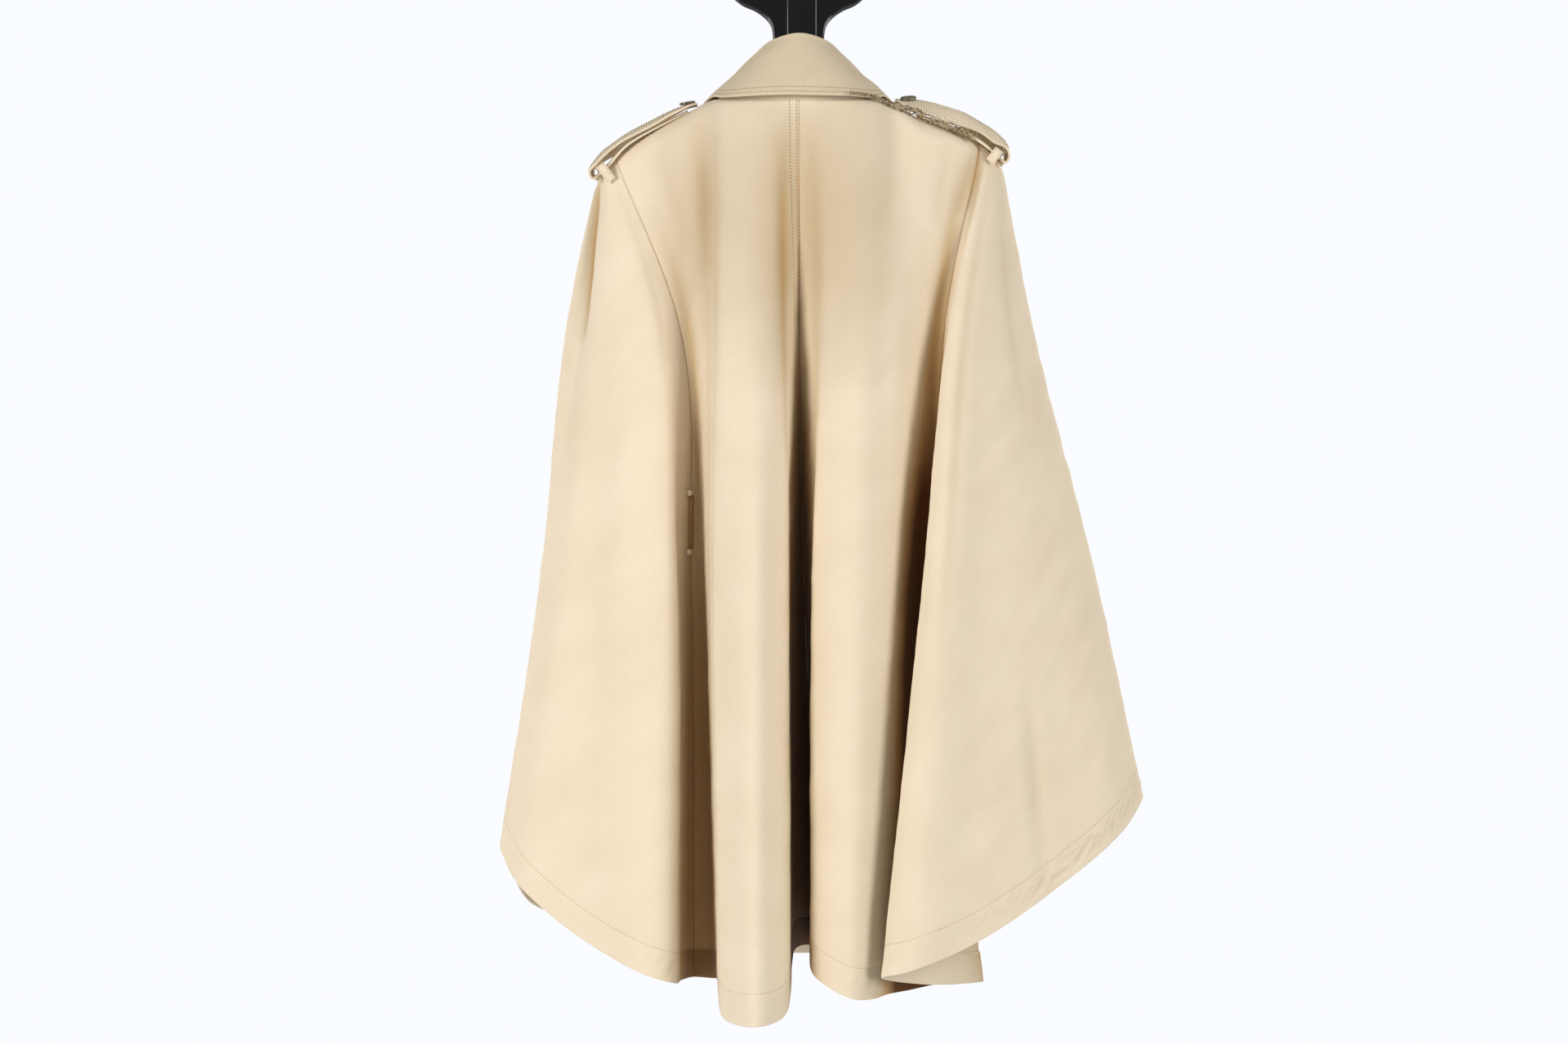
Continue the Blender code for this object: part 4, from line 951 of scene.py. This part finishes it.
def dress_straps(gabardine, thread, horn):
    """The shoulder straps, their rows of stitches, buttons and loops. Little light comes to a
    strap where it folds back on itself, at its outer end."""
    middle = STRAP_ACROSS // 2
    seat = STRAP_BUTTON_ROW, middle
    top = slice(STRAP_SPAN + 2, STRAP_SPAN * STRAP_TOP_END)
    for side in STRAPS:
        points = strap_points(side)
        normals = surface_normals(points)
        along = np.linspace(0, 1, len(points))[:, None]
        wall("strap_" + side, points, normals, STRAP_HALF, STRAP_HALF, gabardine,
             ("epaulette_" + side,), STRAP_SHADE * bell(along - STRAP_FOLD, STRAP_FOLD_SPREAD))
        out = normals * math.copysign(1, normals[STRAP_SPAN, middle, 2])
        rows = [at_distance(points[top], out[top], distance, STRAP_HALF)
                for distance in STRAP_STITCH_ROWS]
        stitches("stitching_strap_" + side, rows, thread, pitch=2.6, length=1.7)
        dress_button("strap_button_" + side, points[seat] + out[seat] * (STRAP_HALF + GAP),
                     out[seat], *STRAP_BUTTON, horn, thread, "epaulette_button_" + side)
        dress_loop(side, gabardine, thread)


def dress_loop(side, gabardine, thread):
    """A band that arches over the strap's under layer, from the cloth before it to that behind."""
    x, z, slope, leg = LOOPS[side]
    tilt = math.radians(slope)
    out = np.array([-math.sin(tilt), 0.0, math.cos(tilt)])
    along = np.array([math.cos(tilt), 0.0, math.sin(tilt)])
    section = smooth(np.array((*LOOP_SECTION, (LOOP_FOOT_ACROSS, -leg))) * MM, LOOP_SPAN)
    arch = (np.array([x * MM, STRAP_CENTRE_Y, z * MM]) + section[:, 1:] * out
            + section[:, :1] * np.array([0.0, 1.0, 0.0]))
    band = np.stack([arch + along * part * LOOP_WIDTH for part in np.linspace(-0.5, 0.5, 13)])
    normals = surface_normals(band)
    edge = LOOP_WALL / 2 * np.array([0.55, 0.9] + [1.0] * 9 + [0.9, 0.55])[:, None]
    wall("strap_loop_" + side, band, normals, edge, edge, gabardine, ("epaulette_loop_" + side,))
    outward = normals * math.copysign(1, np.dot(normals[6, LOOP_SPAN * 5], out))
    rows = [(band[row] + outward[row] * LOOP_WALL / 2, outward[row]) for row in (2, 10)]
    stitches("stitching_loop_" + side, rows, thread, pitch=2.4, length=1.6, width=0.45)


def dress_button(name, base, normal, radius, height, horn, thread, node):
    """A button turned on its axis: flat back, rounded rim, dished middle and a cross of thread over
    it. Its radius and height are in millimetres."""
    turn, dish = facing_turn(normal), BUTTON_PROFILE[-1][1] * height
    rings = turned(BUTTON_PROFILE[:-1], radius * MM, height * MM, BUTTON_SIDES)
    index = numbered(rings)
    vertices = np.concatenate([rings.reshape(-1, 3), [(0, 0, 0), (0, 0, dish * MM)]])
    faces = bands(index)
    faces += [[index.size, b, a] for a, b in zip(index[0], np.roll(index[0], -1))]
    faces += [[index.size + 1, a, b] for a, b in zip(index[-1], np.roll(index[-1], -1))]
    outwards(add_piece(name, vertices @ turn + base, faces, horn, (node,), sharp=35))
    part = np.linspace(0, 1, 12)
    high = dish - 0.5 + 0.95 * np.sin(math.pi * part) ** 0.5
    sway = CROSS_REACH * (1 - 2 * part)
    strands = [np.column_stack([(sign * sway + shift) * radius, (sway - shift) * radius, high]) * MM
               @ turn + base for sign in (1, -1) for shift in (-CROSS_APART, CROSS_APART)]
    tubes(name + "_thread", strands, CROSS_THREAD * radius, thread)


def seat_of(node, towards):
    """The middle of a CAD disc and the way it faces, from its mesh: the mean of its points, and the
    direction in which they spread least, turned to the front (1) or the back (-1)."""
    mesh = bpy.data.objects[node].data if node in bpy.data.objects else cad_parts[node].data
    points = np.empty(len(mesh.vertices) * 3)
    mesh.vertices.foreach_get("co", points)
    points = np.unique(points.reshape(-1, 3).round(7), axis=0)
    middle = points.mean(axis=0)
    _, _, axes = np.linalg.svd(points - middle)
    return middle, axes[2] * math.copysign(1, towards * axes[2, 1])


def dress_front_buttons(horn, thread):
    """Each front button on the seat that its CAD disc has, facing away from the cloth."""
    for side in ("left", "right"):
        for number in (1, 2, 3):
            node = f"front_button_{side}_{number}"
            middle, axis = seat_of(node, 1)
            dress_button(f"button_{side}_{number}", middle - axis * FRONT_BUTTON[1] / 2 * MM, axis,
                         *FRONT_BUTTON, horn, thread, node)


def slit_ring(grid):
    """The line of stitches round a slit's frame, a little in from its edges."""
    return np.concatenate([grid[2:-2, 1], grid[-3, 1:-1], grid[-3:2:-1, -2], grid[2, -2:0:-1]])


def dress_slits(cape, gabardine, thread, stud):
    """The welt of each belt slit, which spans the seam, stitched all round, and a stud at each end.
    Its grid is read from the cape's, first across each row and then down each column."""
    surface, normals, places = cape
    across = np.linspace(*SLIT_ACROSS, SLIT_COLUMNS) * MM
    heights = np.linspace(*SLIT_HEIGHTS, SLIT_ROWS) * MM
    row, place = np.arange(SLIT_ROWS)[:, None], np.arange(SLIT_COLUMNS)
    from_edge = np.minimum(np.minimum(row, row[::-1]), np.minimum(place, place[::-1]))
    thick = SLIT_WALL * rising(0.3, between(from_edge, 0, 1))
    # Painted shade: the welt takes the shade of the fold it lies in, deeper in a line just inside
    # its edge and down every third column.
    shade = np.maximum(np.where(from_edge == 1, 0.85, 0.55), np.where(place % 3 == 1, 0.9, 0))
    for side, turn in (("left", 1), ("right", -1)):
        seam = grid_column(places, side + "_back_seam")
        span = slice(seam - SLIT_READ, seam + SLIT_READ + 1)
        run = run_along(surface[:, span], 1)
        run = (run - run[:, [SLIT_READ]]) * turn
        sheets = [np.stack([read_at(across, line[::turn], values[::turn])
                            for line, values in zip(run, grid[:, span])])
                  for grid in (surface, normals)]
        levels = sheets[0][..., 2]
        strip, facing = (np.stack([read_at(-heights, -levels[:, spot], grid[:, spot])
                                   for spot in place], axis=1)[:, ::turn] for grid in sheets)
        facing = unit(facing)
        base = strip + facing * (OUTER + SLIT_OVER)
        wall("slit_frame_" + side, base, facing, thick, 0.3 * MM, gabardine,
             ("slit_welt_" + side,), shade)
        ring = slit_ring(base + facing * thick[..., None]), slit_ring(facing)
        stitches("stitching_slit_" + side, [ring], thread, pitch=2.4, length=1.7)
        for end in ("top", "bottom"):
            dress_stud(f"slit_stud_{side}_{end}", stud)


def dress_stud(node, stud):
    """A small domed stud with a rolled rim, turned on its axis, on the seat of its CAD disc."""
    middle, axis = seat_of(node, -1)
    rings = turned(STUD_PROFILE, STUD_RADIUS, STUD_HEIGHT, 32) @ facing_turn(axis)
    loft(node.replace("slit_stud", "stud_cap"), rings + (middle - axis * STUD_SUNK), stud,
         (node,), sharp=40)


def fray(dark, light):
    """A worn, puckered edge along the collar's right corner and the right strap's under layer: two
    jagged cords of matted fibre with loose ends between them.

    A cord is the line of FRAYED with a jagged wave across it; an end is a short arc out of it."""
    line = smooth(np.array(FRAYED) * MM, count=400)
    run = run_along(line[:, None], 0)
    ahead = headings(line)
    up = np.cross(ahead, (0.0, 1.0, 0.0)) * (-1, 1, -1)
    up *= np.sign(up[:, 2:])
    out = np.array([0, -1, 0])
    swell = np.clip((run - 10 * MM) / (40 * MM), 0.25, 1)
    cords = []
    for side, seed in ((1, 21), (-1, 22)):
        jag = (soft_noise(run, 0 * run, 0.007, seed, 5) * 1.3
               + soft_noise(run, 0 * run, 0.0035, seed + 4, 5) * 0.6)
        depth = 0.9 + 0.5 * soft_noise(run, 0 * run, 0.006, seed + 8, 5)
        cords.append(line + (up * (side * FRAY_HALF + jag) * swell + out * depth) * MM)
    tubes("matted_cords", cords, 0.42, dark)
    draws = np.random.default_rng(7)
    part = np.linspace(-0.5, 0.5, 7)[:, None]
    for name, surface, amount in (("loose_fibres_dark", dark, 150),
                                  ("loose_fibres_light", light, 260)):
        strands = []
        for _ in range(amount):
            spot = draws.integers(4, len(line) - 5)
            length, sway, turn = (draws.uniform(*span) for span in ((2, 6), (-1, 1), (-1.1, 1.1)))
            reach = draws.uniform(-FRAY_HALF, FRAY_HALF) * swell[spot]
            heading = ahead[spot] * math.cos(turn) + up[spot] * math.sin(turn)
            bow = up[spot] * (reach + (0.25 - part ** 2) * sway * 4)
            strands.append(line[spot] + (heading * part * length + bow
                                         + out * (0.7 + draws.uniform(0, 1.0))) * MM)
        tubes(name, strands, 0.3, surface, sides=4)


# ---- the hanger ---------------------------------------------------------------------------------
def dress_arms(plastic):
    """The hanger's bowed arms, in oval sections."""
    right = np.array(ARM_PROFILE) * MM
    line = smooth(np.concatenate([right[:0:-1] * (-1, 1, 1), right]), 8)
    x, z, deep = line.T[..., None]
    along, up = circle(32).T
    rings = np.stack([np.broadcast_to(x, (len(x), 32)), deep * along,
                      z - ARM_HALF_HIGH + ARM_HALF_HIGH * up], axis=-1)
    loft("arms_moulding", rings, plastic, ("hanger_arms",))


def dress_head(plastic):
    """The hanger's flared head, a plate with rounded edges."""
    rings = []
    for half, height in smooth(np.array(HEAD_PROFILE) * MM, 10):
        corner = arc(0, 90, 6) * HEAD_BEVEL + (half - HEAD_BEVEL, HEAD_HALF_DEPTH - HEAD_BEVEL)
        ring = [corner, corner[::-1] * (-1, 1), -corner, corner[::-1] * (1, -1)]
        rings.append(np.column_stack([np.concatenate(ring), np.full(4 * len(corner), height)]))
    loft("head_moulding", np.stack(rings), plastic, ("hanger_head",))


def dress_tongue(plastic):
    """The raised tongue on the head, narrowing to a rounded top."""
    wide, deep = (arc(0, 90, 8) * TONGUE_ROUND).T
    top, rings = TONGUE_LEVELS[1] * MM, []
    for height in np.linspace(*TONGUE_LEVELS, 60) * MM:
        taper = between(height, top, top - TONGUE_CAP)
        half = TONGUE_HALF * rising(0.86, math.sqrt(1 - (1 - taper) ** 2))
        side = half - TONGUE_ROUND + wide
        rings.append(np.column_stack([TONGUE_X + np.concatenate([side, -side[::-1]]),
                                      -HEAD_HALF_DEPTH - GAP - np.concatenate([deep, deep[::-1]]),
                                      np.full(2 * len(wide), height)]))
    loft("tongue_moulding", np.stack(rings), plastic, ("hanger_tongue",))


def dress_hook(steel):
    """The wire hook: a stem that bends into an arc, and narrows at its tip."""
    line = np.concatenate([HOOK_STEM, HOOK_RADIUS * arc(*HOOK_TURN, 90) + (0, HOOK_CENTRE)]) * MM
    path = np.column_stack([line[:, 0], np.zeros(len(line)), line[:, 1]])
    radius = HOOK_WIRE * np.concatenate([np.ones(len(path) - len(HOOK_TIP)), HOOK_TIP])
    side = np.broadcast_to([0.0, 1.0, 0.0], path.shape)
    loft("hook_wire", round_path(path, side, radius[:, None, None], 20), steel,
         ("hanger_hook",))


# ---- floor, light and camera --------------------------------------------------------------------
def set_floor():
    """A round of pale floor far below the hem."""
    mesh = bpy.data.meshes.new("floor")
    ring = np.column_stack([FLOOR_RADIUS * circle(96), np.full(96, FLOOR_Z)])
    mesh.from_pydata(ring.tolist(), [], [list(range(96))])
    mesh.materials.append(grained("matt_floor_paint", [("Scale", 8.0)], (0.3, 0.7),
                                  map(linear, FLOOR), Roughness=0.8))
    floor = put("floor", mesh)


def set_lamps():
    """Soft light from the upper left and right behind the cape, and less on its front."""
    for name, place, target, size, watts in LAMPS:
        data = bpy.data.lights.new(name, 'AREA')
        data.shape, data.energy = 'RECTANGLE', watts
        data.size, data.size_y = size
        data.color = linear(LAMP)[:3]
        lamp = put(name, data)
        lamp.location = place
        lamp.rotation_euler = (Vector(target) - Vector(place)).to_track_quat('-Z', 'Y').to_euler()


def set_world():
    """A white studio: bright where the camera looks into it, and a weak light on the cape."""
    world = bpy.data.worlds.new("white_studio")
    bpy.context.scene.world = world
    world.use_nodes = True
    tree = world.node_tree
    seen = tree.nodes["Background"]
    seen.inputs["Color"].default_value = linear(SKY_SEEN)
    seen.inputs["Strength"].default_value = 1.0
    lit = add(tree, "ShaderNodeBackground",
              inputs=[("Color", linear(SKY_LIGHT)), ("Strength", 0.20)])
    path = add(tree, "ShaderNodeLightPath")
    mix = add(tree, "ShaderNodeMixShader",
              links=[(0, (path, "Is Camera Ray")), (1, (lit, 0)), (2, (seen, 0))])
    tree.links.new(mix.outputs[0], tree.nodes["World Output"].inputs["Surface"])


def set_camera():
    """The photograph's camera, level and square to the back."""
    data = bpy.data.cameras.new("camera")
    data.lens, data.sensor_width = CAMERA_LENS, CAMERA_SENSOR
    camera = put("camera", data)
    camera.location = CAMERA_PLACE
    camera.rotation_euler = (math.radians(90), 0, 0)
    bpy.context.scene.camera = camera
    bpy.context.scene.view_settings.view_transform = 'Standard'


gabardine = cotton_gabardine("cotton_gabardine_honey")
thread = spun_thread("core_spun_thread_honey", THREAD)
hem_thread = spun_thread("core_spun_thread_sand", THREAD_HEM)
inside_thread = spun_thread("core_spun_thread_pale", THREAD_INSIDE)
# Dark fibres for the fray's cords and some of its loose ends, along the collar's and strap's lower
# edges.
dark_fibres = spun_thread("dark_cotton_fibres", FRAY_DARK)
light_fibres = spun_thread("worn_cotton_fibres", FRAY_LIGHT)
horn = polished_horn("buffalo_horn_polyester")
stud = stud_metal("lacquered_brass_stud")
plastic = gloss_abs("black_gloss_abs")
steel = drawn_wire("nickel_plated_wire")

set_floor()
set_lamps()
set_world()
set_camera()
panels, cape = dress_panels(gabardine)
sew_panels(panels, thread, hem_thread, inside_thread)
dress_collar(gabardine, thread)
dress_straps(gabardine, thread, horn)
dress_front_buttons(horn, thread)
dress_slits(cape, gabardine, thread, stud)
fray(dark_fibres, light_fibres)
dress_arms(plastic)
dress_head(plastic)
dress_tongue(plastic)
dress_hook(steel)
